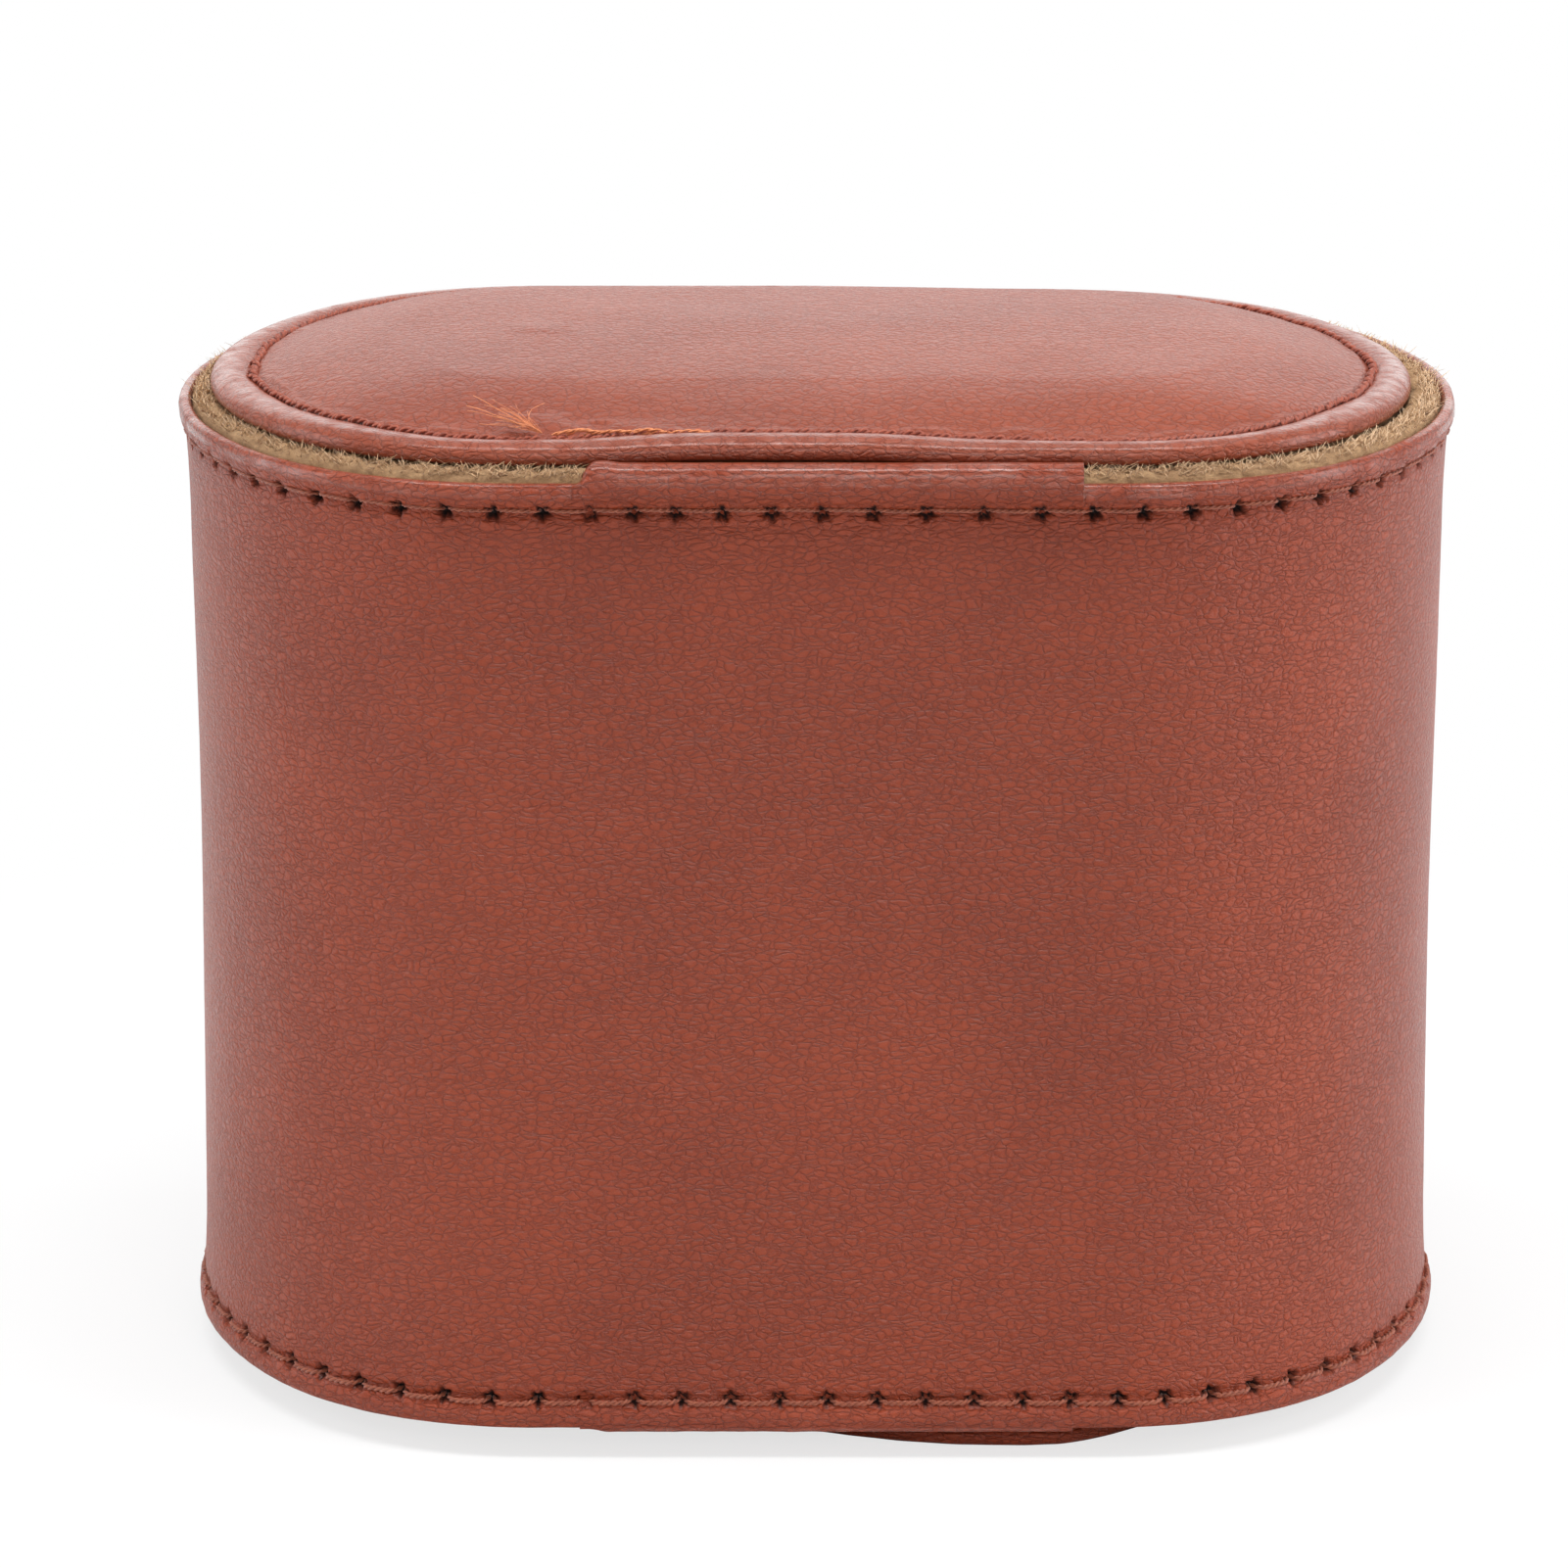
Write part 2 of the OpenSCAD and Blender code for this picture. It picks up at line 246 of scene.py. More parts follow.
def feed(tree, value, socket):
    """Links an output to an input, or sets the input's value."""
    if isinstance(value, bpy.types.NodeSocket):
        tree.links.new(value, socket)
    else:
        socket.default_value = value


def painted(mat, values):
    """Feeds the inputs of the material's surface."""
    for key, value in values.items():
        feed(mat.node_tree, value, mat.node_tree.nodes["Principled BSDF"].inputs[key])
    return mat


def node(tree, kind, vector=None, **values):
    n = tree.nodes.new(kind)
    for key, value in values.items():
        if key in n.inputs:
            n.inputs[key].default_value = value
        else:
            setattr(n, key, value)
    if vector is not None:
        tree.links.new(vector, n.inputs["Vector"])
    return n


def noise_map(tree, vector, scale, detail, roughness=0.5, distortion=0.0, output="Fac"):
    return node(tree, "ShaderNodeTexNoise", vector, Scale=scale, Detail=detail, Roughness=roughness,
                Distortion=distortion).outputs[output]


def ramp(tree, source, stops):
    r = node(tree, "ShaderNodeValToRGB")
    feed(tree, source, r.inputs["Fac"])
    ends = r.color_ramp.elements
    ends[0].position, ends[0].color = stops[0]
    ends[1].position, ends[1].color = stops[-1]
    for pos, colour in stops[1:-1]:
        ends.new(pos).color = colour
    return r.outputs["Color"]


def mapping(tree, scale=(1000, 1000, 1000)):
    """Object space, scaled; the usual scale gives millimetres."""
    coord = node(tree, "ShaderNodeTexCoord").outputs["Object"]
    return node(tree, "ShaderNodeMapping", coord, Scale=scale).outputs["Vector"]


def mix(tree, kind, fac, a, b):
    m = node(tree, "ShaderNodeMix", data_type="RGBA", blend_type=kind)
    for socket, value in ((0, fac), (6, a), (7, b)):
        feed(tree, value, m.inputs[socket])
    return m.outputs[2]


def maths(tree, kind, a, b):
    m = node(tree, "ShaderNodeMath", operation=kind)
    feed(tree, a, m.inputs[0])
    feed(tree, b, m.inputs[1])
    return m.outputs[0]


def times(tree, a, b):
    return maths(tree, "MULTIPLY", a, b)


def plus(tree, a, b):
    return maths(tree, "ADD", a, b)


def bump(tree, height, strength, distance):
    n = node(tree, "ShaderNodeBump", Strength=strength, Distance=distance)
    feed(tree, height, n.inputs["Height"])
    return n.outputs["Normal"]


def leather(name, deep, light, grain=1.0, tint=(1.0, 1.0, 1.0)):
    """Pebbled, coated leather: pebbles with fine creases, a clouded colour, painted shade in the punched
    holes and a painted highlight on the crests, which are glossier too.
    """
    mat, tree = material(name)
    vec, stretch = mapping(tree), mapping(tree, (800, 800, 1500))
    fine = noise_map(tree, vec, 3.4, 6.0, 0.65)
    folds = noise_map(tree, stretch, 0.8, 5.0, 0.6, 1.0)
    shifted = node(tree, "ShaderNodeVectorMath", operation="MULTIPLY_ADD")
    warp = noise_map(tree, stretch, 0.7, 3.0, output="Color")
    for socket, value in zip(shifted.inputs, (warp, (1.5, 1.5, 1.5), stretch)):
        feed(tree, value, socket)
    creases = node(tree, "ShaderNodeTexVoronoi", shifted.outputs["Vector"], Scale=1.25,
                   feature="DISTANCE_TO_EDGE").outputs["Distance"]
    pebbles = ramp(tree, creases, [(0.0, grey(0)), (0.12, grey(0.62)), (0.34, grey(1))])
    tone = ramp(tree, noise_map(tree, vec, 0.045, 5.0, 0.6), [(0.34, deep), (0.66, light)])
    shade = ramp(tree, pebbles, [(0.0, rgb(0.60, 0.52, 0.50)), (0.7, grey(1))])
    painted_hole_shade, cut, crest_highlight = (node(tree, "ShaderNodeAttribute", attribute_name=key).outputs["Fac"]
                       for key in ("painted_hole_shade", "cut", "crest_highlight"))
    colour = mix(tree, "MULTIPLY", 0.6, tone, shade)
    # Painted shade: the insides of the punched holes are mixed to near black, and made fully rough.
    colour = mix(tree, "MIX", painted_hole_shade, colour, rgb(0.012, 0.004, 0.003))
    colour = mix(tree, "MIX", cut, colour, rgb(0.30, 0.22, 0.17))
    # Painted highlight: the crests are mixed towards a lighter, crackled pink, and get a lower roughness and
    # more coat.
    painted_highlight = times(tree, times(tree, crest_highlight, fine), 0.3)
    gloss = ramp(tree, fine, [(0.3, grey(0.30)), (0.7, grey(0.50))])
    matt = mix(tree, "MIX", painted_hole_shade, gloss, grey(1))
    polish = maths(tree, "MINIMUM", times(tree, crest_highlight, 2.6), 1.0)
    height = plus(tree, times(tree, pebbles, 0.42 * grain), times(tree, fine, 0.30 * grain))
    height = plus(tree, height, times(tree, folds, 1.0 * grain))
    return painted(mat, {
        "Base Color": mix(tree, "MIX", painted_highlight, colour, rgb(0.66, 0.30, 0.20)),
        "Roughness": mix(tree, "MIX", polish, matt, grey(0.27)),
        "Coat Weight": plus(tree, 0.12, times(tree, polish, 0.75)), "Coat Roughness": 0.22,
        "Specular IOR Level": 0.32, "Specular Tint": rgb(*tint),
        "Normal": bump(tree, height, 1.0, 0.00030)})


def felt(name, deep, light, scale=1.0):
    mat, tree = material(name)
    vec = mapping(tree)
    clumps = noise_map(tree, vec, 0.9 * scale, 8.0, 0.75)
    fuzz = noise_map(tree, vec, 5.0 * scale, 6.0, 0.8, 1.5)
    tone = ramp(tree, clumps, [(0.3, deep), (0.7, light)])
    speck = ramp(tree, fuzz, [(0.35, rgb(0.62, 0.60, 0.56)), (0.62, grey(1))])
    return painted(mat, {
        "Base Color": mix(tree, "MULTIPLY", 0.8, tone, speck), "Roughness": 0.95,
        "Sheen Weight": 0.15, "Sheen Roughness": 0.5, "Sheen Tint": rgb(0.95, 0.80, 0.55),
        "Normal": bump(tree, plus(tree, clumps, fuzz), 0.9, 0.00025)})


def mottled(name, texture, deep, light, depth, values):
    """A plain material whose noise gives its tone and its bump."""
    mat, tree = material(name)
    spots = noise_map(tree, mapping(tree), *texture)
    tone = ramp(tree, spots, [(0.3, deep), (0.7, light)])
    return painted(mat, {"Base Color": tone, "Normal": bump(tree, spots, 0.5, depth), **values})


def fibre(name, deep, light):
    """Thread or loose fibre, with fine twisted strands."""
    return mottled(name, (2.6, 5.0, 0.7), deep, light, 0.00005, {"Roughness": 0.6, "Sheen Weight": 0.2})


def foam(name):
    mat, tree = material(name)
    pores = node(tree, "ShaderNodeTexVoronoi", mapping(tree), Scale=2.2).outputs["Distance"]
    tone = ramp(tree, pores, [(0.1, rgb(0.88, 0.82, 0.66)), (0.8, rgb(0.55, 0.48, 0.34))])
    return painted(mat, {"Base Color": tone, "Roughness": 0.95, "Normal": bump(tree, pores, 0.8, 0.0003)})


def snap_metal(name):
    mat, tree = material(name)
    wear = noise_map(tree, mapping(tree), 1.4, 7.0, 0.7)
    lines = noise_map(tree, mapping(tree, (300, 300, 4000)), 6.0, 3.0)
    tone = ramp(tree, wear, [(0.35, rgb(0.42, 0.29, 0.16)), (0.62, rgb(0.66, 0.50, 0.30))])
    return painted(mat, {
        "Base Color": tone, "Metallic": 1.0, "Normal": bump(tree, lines, 0.25, 0.00005),
        "Roughness": ramp(tree, wear, [(0.3, grey(0.22)), (0.7, grey(0.42))])})


WALL = leather("wall_leather_mat", rgb(0.270, 0.038, 0.0095), rgb(0.328, 0.049, 0.0130), grain=1.35)
LID = leather("lid_leather_mat", rgb(0.250, 0.044, 0.0175), rgb(0.300, 0.057, 0.0230), grain=0.85,
              tint=(1.0, 0.86, 0.78))
FELT = felt("felt_mat", rgb(0.350, 0.185, 0.085), rgb(0.740, 0.455, 0.235))
NAP = fibre("nap_mat", rgb(0.43, 0.245, 0.115), rgb(0.90, 0.61, 0.35))
THREAD = fibre("thread_mat", rgb(0.168, 0.032, 0.013), rgb(0.384, 0.100, 0.042))
LID_THREAD = fibre("lid_thread_mat", rgb(0.150, 0.025, 0.012), rgb(0.450, 0.095, 0.042))
LOOSE = fibre("loose_thread_mat", rgb(0.55, 0.15, 0.05), rgb(0.80, 0.30, 0.12))
BOARD = mottled("board_mat", (1.2, 8.0, 0.7), rgb(0.30, 0.22, 0.14), rgb(0.50, 0.40, 0.28), 0.0001,
                {"Roughness": 0.85})
FOAM = foam("foam_mat")
METAL = snap_metal("snap_metal_mat")
SUEDE = felt("suede_mat", rgb(0.22, 0.145, 0.08), rgb(0.34, 0.235, 0.135), scale=1.6)


def dress(name, mat):
    obj = frame["nodes"][name]
    if not obj.material_slots:
        obj.data.materials.append(mat)
    for s in obj.material_slots:
        s.material = mat


for part in ("shell_board", "flap_board", "bottom_lid_board"):
    dress(part, BOARD)
for part in ("snap_stud", "snap_post", "snap_socket"):
    dress(part, METAL)


# ---------------------------------------------------------------- wall leather

SURFACE = 0.3


def wall_offset(z):
    """How far the leather's face stands out from the plan: a slight waist and flared ends."""
    from_end = np.minimum(z - Z0, Z1 - z)
    flare = np.clip(1 - (from_end - 2.0) / 7.0, 0, 1)
    waist = -0.28 * np.clip(np.sin(math.pi * (z - Z0) / (Z1 - Z0)), 0, 1) ** 1.5
    return SURFACE * flare ** 2 + waist * (1 - flare)


def roll_section():
    """Section of the upper rim from the stitch line over the roll to its inner foot: offset, depth."""
    pts = [(0.28, -2.45), (0.42, -2.2), (0.66, -1.8), (0.80, -1.2), (0.80, -0.6), (0.66, -0.18),
           (0.34, 0.0), (0.0, 0.0), (-0.22, -0.2), (-0.30, -0.6), (-0.30, -2.0)]
    return resample(smooth_line(pts), PROFILE_STEP)


STRIP_S0 = STRIP_X - STRIP_W / 2
STRIP_S1 = STRIP_X + STRIP_W / 2


def signed(s):
    """Distance along the plan as a value from minus to plus half the round."""
    return (np.asarray(s) + ROUND_LEN / 2) % ROUND_LEN - ROUND_LEN / 2


def step_up(x, edge, width):
    t = np.clip((x - edge) / width + 0.5, 0, 1)
    return t * t * (3 - 2 * t)


def in_strip(s, soft, inside=0.0):
    x = signed(s)
    return step_up(x, STRIP_S0 + inside, soft) * (1 - step_up(x, STRIP_S1 - inside, soft))


def hole_row(phase, gather, jitter):
    """Places of one row's holes along the plan, closer together where the row gathers."""
    count = round(ROUND_LEN / STITCH_PITCH)
    k = np.arange(count) - count // 2
    s = phase + k * ROUND_LEN / count
    return np.sort(s - gather * np.exp(-((s - 0.5) / 15.0) ** 4) + jitter * np.sin(12.9898 * k))


TOP_HOLES = hole_row(2.0, 1.7, 0.12)
LOW_HOLES = hole_row(0.9, 0.0, 0.12)


def nearest_hole(s, holes):
    """The nearest hole to each distance along the plan, and its number."""
    ring = np.r_[holes - ROUND_LEN, holes, holes + ROUND_LEN]
    i = np.clip(np.searchsorted(ring, s), 1, len(ring) - 1)
    i = np.where(np.abs(ring[i - 1] - s) < np.abs(ring[i] - s), i - 1, i)
    return ring[i], i


def hole_field(s, z, line_z, holes, size=0.58):
    """Pit, lip and pull of the punched holes, a little ragged and star-shaped."""
    hole, k = nearest_hole(s, holes)
    ds, dz = s - hole, z - line_z
    angle = np.arctan2(dz, ds + 1e-9)
    star = 0.5 + 0.5 * np.cos(5 * angle + 2.4 * k)
    d = np.hypot(ds, dz) / (0.72 + 0.5 * star)
    pit = np.exp(-(d / size) ** 4)
    lip = np.exp(-((d - 0.8) / 0.25) ** 2)
    pull = np.exp(-(ds / 1.0) ** 2 - (dz / 0.9) ** 2) * (0.55 + 0.75 * star)
    return pit, lip, pull


def leather_wall(name, s0, s1, body, cad_node):
    """The wall's leather between two distances along the plan, rolled over at both rims."""
    along, stat = stations(s0, s1, 0.2)
    roll = roll_section()
    low = np.stack([roll[::-1, 0], Z0 - roll[::-1, 1]], -1)
    high = np.stack([roll[:, 0], Z1 + roll[:, 1]], -1)
    fine = np.arange(0.2, 2.6, 0.2)
    mid_rows = np.r_[STITCH_LOW + fine, np.linspace(Z0 + 5.4, Z1 - 5.4, 38), STITCH_TOP - fine[::-1]]
    mid = np.stack([wall_offset(mid_rows), mid_rows], -1)
    inner = np.array([(-0.95, Z1 - 2.05), (-0.95, MID_Z), (-0.95, Z0 + 2.05)])
    section = np.vstack([low, mid, high, inner])
    off = np.repeat(section[None, :, 0], len(along), 0)
    z = np.repeat(section[None, :, 1], len(along), 0)
    n_low, n_face = len(low), len(low) + len(mid) + len(high)
    rolls = (slice(0, n_low), slice(n_low + len(mid), n_face))
    # Where a hinge strip takes the roll's place, the leather ends flat behind it.
    tuck = in_strip(along, 0.5, 0.9)[:, None]
    for block, line in zip(rolls, (Z0 + 2.9, Z1 - 2.9)):
        off[:, block] = off[:, block] * (1 - tuck) + (-0.35) * tuck
        z[:, block] = z[:, block] * (1 - tuck) + line * tuck
    pts = at(stat[:, None, :], off, z) / MM
    wrinkle = ripple(pts * np.array([1, 1, 1.6]), 0.9, 3.1) * 0.5 + ripple(pts, 0.35, 9.7)
    rolled, face, painted_hole_shade = (np.zeros_like(off) for _ in range(3))
    for block in rolls:
        rolled[:, block] = 1
    face[:, :n_face] = 1
    wave = ripple(pts, 0.045, 5.0)
    off = off + face * (wrinkle * (0.02 + 0.045 * rolled) + wave * 0.18 * (1 - rolled))
    for line, holes in ((STITCH_TOP, TOP_HOLES), (STITCH_LOW, LOW_HOLES)):
        pit, lip, pull = hole_field(along[:, None], z, line, holes)
        seam = np.exp(-((z - line) / 0.42) ** 2)
        off += face * (-0.70 * pit + 0.08 * lip * (1 - pit) - 0.16 * pull - 0.14 * seam)
        # Painted shade: the pits of the holes are marked to turn near black.
        painted_hole_shade += face * 1.5 * pit
    # A cut edge pulls in a little at the opening.
    near = np.minimum(along - s0, s1 - along)[:, None]
    off -= face * 0.35 * np.exp(-near ** 2)
    # Painted highlight: the upper roll's crest, away from the hinge strips, gets the lighter highlight
    # colour and more gloss.
    crest_highlight = np.clip(rolled * (0.55 + 0.8 * wrinkle) * (z > Z1 - 1.1) * (tuck < 0.5), 0, 1) * 0.4
    layers = {"painted_hole_shade": np.clip(painted_hole_shade, 0, 1), "crest_highlight": crest_highlight}
    obj = swept(name, at(stat[:, None, :], off, z), WALL, None, layers, flip=True)
    place(obj, body, cad_node, "leather")


SHELL_SPAN = (GAP_S1 - ROUND_LEN, GAP_S0)
FLAP_SPAN = (GAP_S0 + 1.0, GAP_S1 - 0.8)
leather_wall("wall_leather", *SHELL_SPAN, "shell", "shell_leather")
leather_wall("flap_leather_cover", *FLAP_SPAN, "flap", "flap_leather")


# ---------------------------------------------------------------- felt lining

FELT_TOP = Z1 + 0.62
FELT_LOW = Z0 + 0.4


def settle(x, y):
    """The lid leans back and to the right a little, as it rests on its hinge strip at the front."""
    back = np.clip((np.asarray(y) + 30) / 62, 0, 1.05)
    return -0.80 * back - 0.75 * back * np.clip(np.asarray(x) / 48, 0, 1)


def felt_wall(name, s0, s1, body, cad_node):
    along, stat = stations(s0, s1, 0.25)
    top, low = FELT_TOP, FELT_LOW
    edge = [(-3.38, top - 3.0), (-3.42, top - 1.0), (-3.2, top - 0.35), (-2.6, top - 0.04), (-1.8, top),
            (-1.0, top - 0.08), (-0.52, top - 0.4), (-0.36, top - 1.0), (-0.36, Z1 - 1.9)]
    up = resample(smooth_line(edge), 0.25)
    down = up[::-1] * np.array([1, -1]) + np.array([0, top + low])
    down[:, 1] = np.minimum(down[:, 1], Z0 + 1.8)
    outer = np.array([(-2.2, Z1 - 2.0), (-2.2, MID_Z), (-2.2, Z0 + 2.0)])
    inner_z = np.arange(Z0 + 2.4, Z1 - 2.4, 2.5)
    inner = np.stack([np.full_like(inner_z, -3.4), inner_z], -1)
    section = np.vstack([up, outer, down, inner])
    off = np.repeat(section[None, :, 0], len(along), 0)
    z = np.repeat(section[None, :, 1], len(along), 0)
    pts = at(stat[:, None, :], off, z) / MM
    lump = ripple(pts, 0.7, 21.0) * 0.5 + ripple(pts, 1.7, 4.0) * 0.6
    rim = (z > Z1 - 1.0) | (z < Z0 + 1.0)
    z = z + np.where(rim, np.sign(z - MID_Z) * np.clip(lump, -1, 0.8) * 0.55, 0)
    z = z + np.where(z > Z1 - 0.6, 0.5 * settle(pts[..., 0], pts[..., 1]), 0)
    off = off + np.where(rim, 0.0, lump * 0.03)
    place(swept(name, at(stat[:, None, :], off, z), FELT, None), body, cad_node, "felt")


felt_wall("wall_felt", *SHELL_SPAN, "shell", "shell_lining")
felt_wall("flap_felt", *FLAP_SPAN, "flap", "flap_lining")


def nap(name, s0, s1, body, per_mm, seed):
    """Short fibres that stand up from the felt's two edges."""
    rng = random.Random(seed)
    verts, faces = [], []
    hair = grid_faces(3, 3) + [(2, 1, 0), (6, 7, 8)]
    for z_edge, up in ((FELT_TOP, 1), (FELT_LOW, -1)):
        for _ in range(int((s1 - s0) * per_mm)):
            s = rng.uniform(s0, s1)
            x, y, nx, ny = station(s)
            off = rng.uniform(-2.2, -0.45)
            if up > 0 and 0.5 < in_strip(s, 0.1):
                continue
            long = rng.uniform(0.5, 1.5) if up > 0 else rng.uniform(0.2, 0.4)
            lean = rng.gauss(0, 0.8)
            out = rng.gauss(0.1, 0.6)
            wide = rng.uniform(0.045, 0.085)
            tx, ty = -ny, nx
            curl = rng.gauss(0, 0.25)
            drop = -0.5 * max(0.0, off + 1.0) - 0.1 + (0.5 * float(settle(x, y)) if up > 0 else 0.0)
            for h, w in ((0.0, 1.0), (0.5, 0.8), (1.0, 0.15)):
                sway = h * h * curl * long
                cx = x + nx * (off + out * h * long * 0.7) + tx * (lean * h * long + sway)
                cy = y + ny * (off + out * h * long * 0.7) + ty * (lean * h * long + sway)
                cz = z_edge + up * (drop + h * long * 0.62)
                for j in range(3):
                    a = j * 2 * math.pi / 3
                    corner = (cx + math.cos(a) * wide * w, cy + math.sin(a) * wide * w, cz + 0.01 * j)
                    verts.append(np.array(corner) * MM)
            base = len(verts) - 9
            faces += [tuple(base + i for i in face) for face in hair]
    new_object(name, verts, faces, NAP, body)


nap("wall_felt_nap", SHELL_SPAN[0] + 0.5, SHELL_SPAN[1] - 0.5, "shell", 13, 11)
nap("flap_felt_nap", FLAP_SPAN[0] + 0.4, FLAP_SPAN[1] - 0.4, "flap", 10, 12)


# ---------------------------------------------------------------- stitches

def twisted(path, radius, turns_mm, sides=6, plies=2):
    """Vertices and faces of a plied thread along a path of (point, up) pairs, in millimetres."""
    verts, faces = [], []
    pts = np.array([p for p, _ in path])
    ups = np.array([u for _, u in path])
    length = np.r_[0, np.cumsum(np.linalg.norm(np.diff(pts, axis=0), axis=1))]
    tangent = np.gradient(pts, axis=0)
    tangent /= np.linalg.norm(tangent, axis=1)[:, None]
    side = np.cross(tangent, ups)
    side /= np.linalg.norm(side, axis=1)[:, None]
    up = np.cross(side, tangent)
    ply_r = radius * 0.56
    for ply in range(plies):
        base = len(verts)
        for k in range(len(pts)):
            a = 2 * math.pi * (turns_mm * length[k] + ply / plies)
            centre = pts[k] + (math.cos(a) * side[k] + math.sin(a) * up[k]) * radius * 0.5
            for j in range(sides):
                b = 2 * math.pi * j / sides
                verts.append((centre + (math.cos(b) * side[k] + math.sin(b) * up[k]) * ply_r) * MM)
        ends = [tuple(range(sides))[::-1], tuple(range(len(pts) * sides - sides, len(pts) * sides))]
        faces += [tuple(base + i for i in face) for face in grid_faces(len(pts), sides) + ends]
    return verts, faces


class Bundle:
    """Collects meshes into one piece."""

    def __init__(self):
        self.verts, self.faces = [], []

    def add(self, verts, faces):
        base = len(self.verts)
        self.verts.extend(verts)
        self.faces.extend([tuple(base + i for i in f) for f in faces])

    def make(self, name, mat, body):
        obj = new_object(name, self.verts, self.faces, mat, body)
        return obj


def wall_stitch(bundle, s_a, s_b, z, surface, rng, radius, upward):
    """One stitch over the wall's face, which dives into its two holes."""
    path = []
    sag = rng.uniform(-0.07, 0.07)
    slack = rng.uniform(0.0, 0.06)
    for t in np.linspace(0, 1, 24):
        u = 2 * t - 1
        x, y, nx, ny = station(s_a + (s_b - s_a) * t)
        off = surface + 0.02 + (0.16 + slack) * (1 - u ** 4) - 1.1 * abs(u) ** 6
        h = z + upward * (0.10 + 0.20 * (1 - u ** 6) - 0.08 * t) + sag * (1 - u * u)
        path.append(((x + nx * off, y + ny * off, h), (nx, ny, 0)))
    bundle.add(*twisted(path, radius, 0.85))


def wall_row(bundle, s0, s1, z, holes, seed, upward, radius):
    """Stitches between each two neighbouring holes from s0 to s1."""
    rng = random.Random(seed)
    ring = np.r_[holes - ROUND_LEN, holes, holes + ROUND_LEN]
    ring = ring[(ring > s0) & (ring < s1)]
    for s_a, s_b in zip(ring, ring[1:]):
        wall_stitch(bundle, s_a + 0.1, s_b - 0.1, z, SURFACE - 0.10, rng, radius, upward)


def wall_thread(name, s0, s1, rows, body, cad_node):
    bundle = Bundle()
    for row in rows:
        wall_row(bundle, s0 + 1.0, s1 - 1.0, *row)
    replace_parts(bundle.make(name, THREAD, body), cad_node)


TOP_ROW = (STITCH_TOP, TOP_HOLES, 5, 1, 0.17)
LOW_ROW = (STITCH_LOW, LOW_HOLES, 6, -1, 0.23)
wall_thread("top_rim_stitches", *SHELL_SPAN, [TOP_ROW], "shell", "top_rim_thread")
wall_thread("bottom_rim_stitches", *SHELL_SPAN, [LOW_ROW], "shell", "bottom_rim_thread")
wall_thread("flap_rim_stitches", FLAP_SPAN[0] + 1.5, FLAP_SPAN[1], [TOP_ROW, LOW_ROW], "flap",
            "flap_rim_thread")


# ---------------------------------------------------------------- padded covers, settled as cloth

FRAMES = 20


def run_cloth(obj, pinned, pressure, shrink):
    """Runs a short, weightless cloth simulation under inner pressure and returns the new points."""
    scene = bpy.context.scene
    scene.collection.objects.link(obj)
    group = obj.vertex_groups.new(name="held")
    group.add([int(i) for i in pinned], 1.0, "REPLACE")
    cloth = obj.modifiers.new("cloth", "CLOTH")
    for key, value in (("quality", 6), ("mass", 0.2), ("tension_stiffness", 15.0),
                       ("compression_stiffness", 15.0), ("bending_stiffness", 0.6), ("use_pressure", True),
                       ("uniform_pressure_force", pressure), ("shrink_min", shrink)):
        setattr(cloth.settings, key, value)
    cloth.settings.effector_weights.gravity = 0.0
    if len(pinned):
        cloth.settings.vertex_group_mass = "held"
    cloth.collision_settings.use_collision = False
    cloth.collision_settings.use_self_collision = False
    cloth.point_cache.frame_start = 1
    cloth.point_cache.frame_end = FRAMES
    for k in range(1, FRAMES + 1):
        scene.frame_set(k)
    done = obj.evaluated_get(bpy.context.evaluated_depsgraph_get())
    points = np.empty(len(done.data.vertices) * 3)
    done.data.vertices.foreach_get("co", points)
    scene.frame_set(1)
    mesh = obj.data
    bpy.data.objects.remove(obj)
    bpy.data.meshes.remove(mesh)
    return points.reshape(-1, 3)


def capped(shift, most):
    """Shifts cut to a greatest length, all in millimetres."""
    size = np.linalg.norm(shift, axis=-1, keepdims=True)
    return shift * np.minimum(1, most / np.maximum(size, 1e-9))


def spread(values, rows, cols, row_at, col_at):
    """A coarse closed-ring grid of shifts carried over to all rows and columns."""
    out = np.stack([np.interp(np.arange(rows), row_at, values[:, j]) for j in range(values.shape[1])], 1)
    around = np.r_[col_at, cols]
    closed = np.concatenate([out, out[:, :1]], 1)
    return np.stack([np.interp(np.arange(cols), around, closed[i]) for i in range(rows)])


def billow(x, y, z, first, most=0.22):
    """Lets a lid's crown settle as cloth held along its seam; returns shifts for the whole grid."""
    rows, cols = x.shape
    row_at = np.r_[np.arange(first, rows - 2, 2), rows - 2]
    col_at = np.arange(0, cols, 5)
    coarse = np.stack([a[np.ix_(row_at, col_at)] for a in (x, y, z)], -1)
    n_rows, n_cols = coarse.shape[:2]
    mesh = bpy.data.meshes.new("crown_cloth")
    points = coarse.reshape(-1, 3) * MM
    last = [(n_rows - 1) * n_cols + j for j in range(n_cols)]
    mesh.from_pydata([tuple(p) for p in points], [], grid_faces(n_rows, n_cols) + [tuple(last)])
    after = run_cloth(bpy.data.objects.new("crown_cloth", mesh), range(n_cols), 0.8, -0.004)
    shift = capped((after - points) / MM, most).reshape(coarse.shape)
    index = np.arange(rows)
    weight = np.clip((rows - 2 - index) / 8, 0, 1)[:, None]
    level = (0.0, 0.0, float(shift[-5:, :, 2].mean()))
    return [(spread(shift[..., k], rows, cols, row_at, col_at) * weight + level[k] * (1 - weight))
            * (index >= first)[:, None] for k in range(3)]


# ---------------------------------------------------------------- lids

MEDIAL_HALF = FLAT_HALF * 0.72
WELD = 0.00002
SEAM_IN = LID_INSET + LID_STITCH_IN
SEAM_Z = 1.88
PAD_H = 3.80


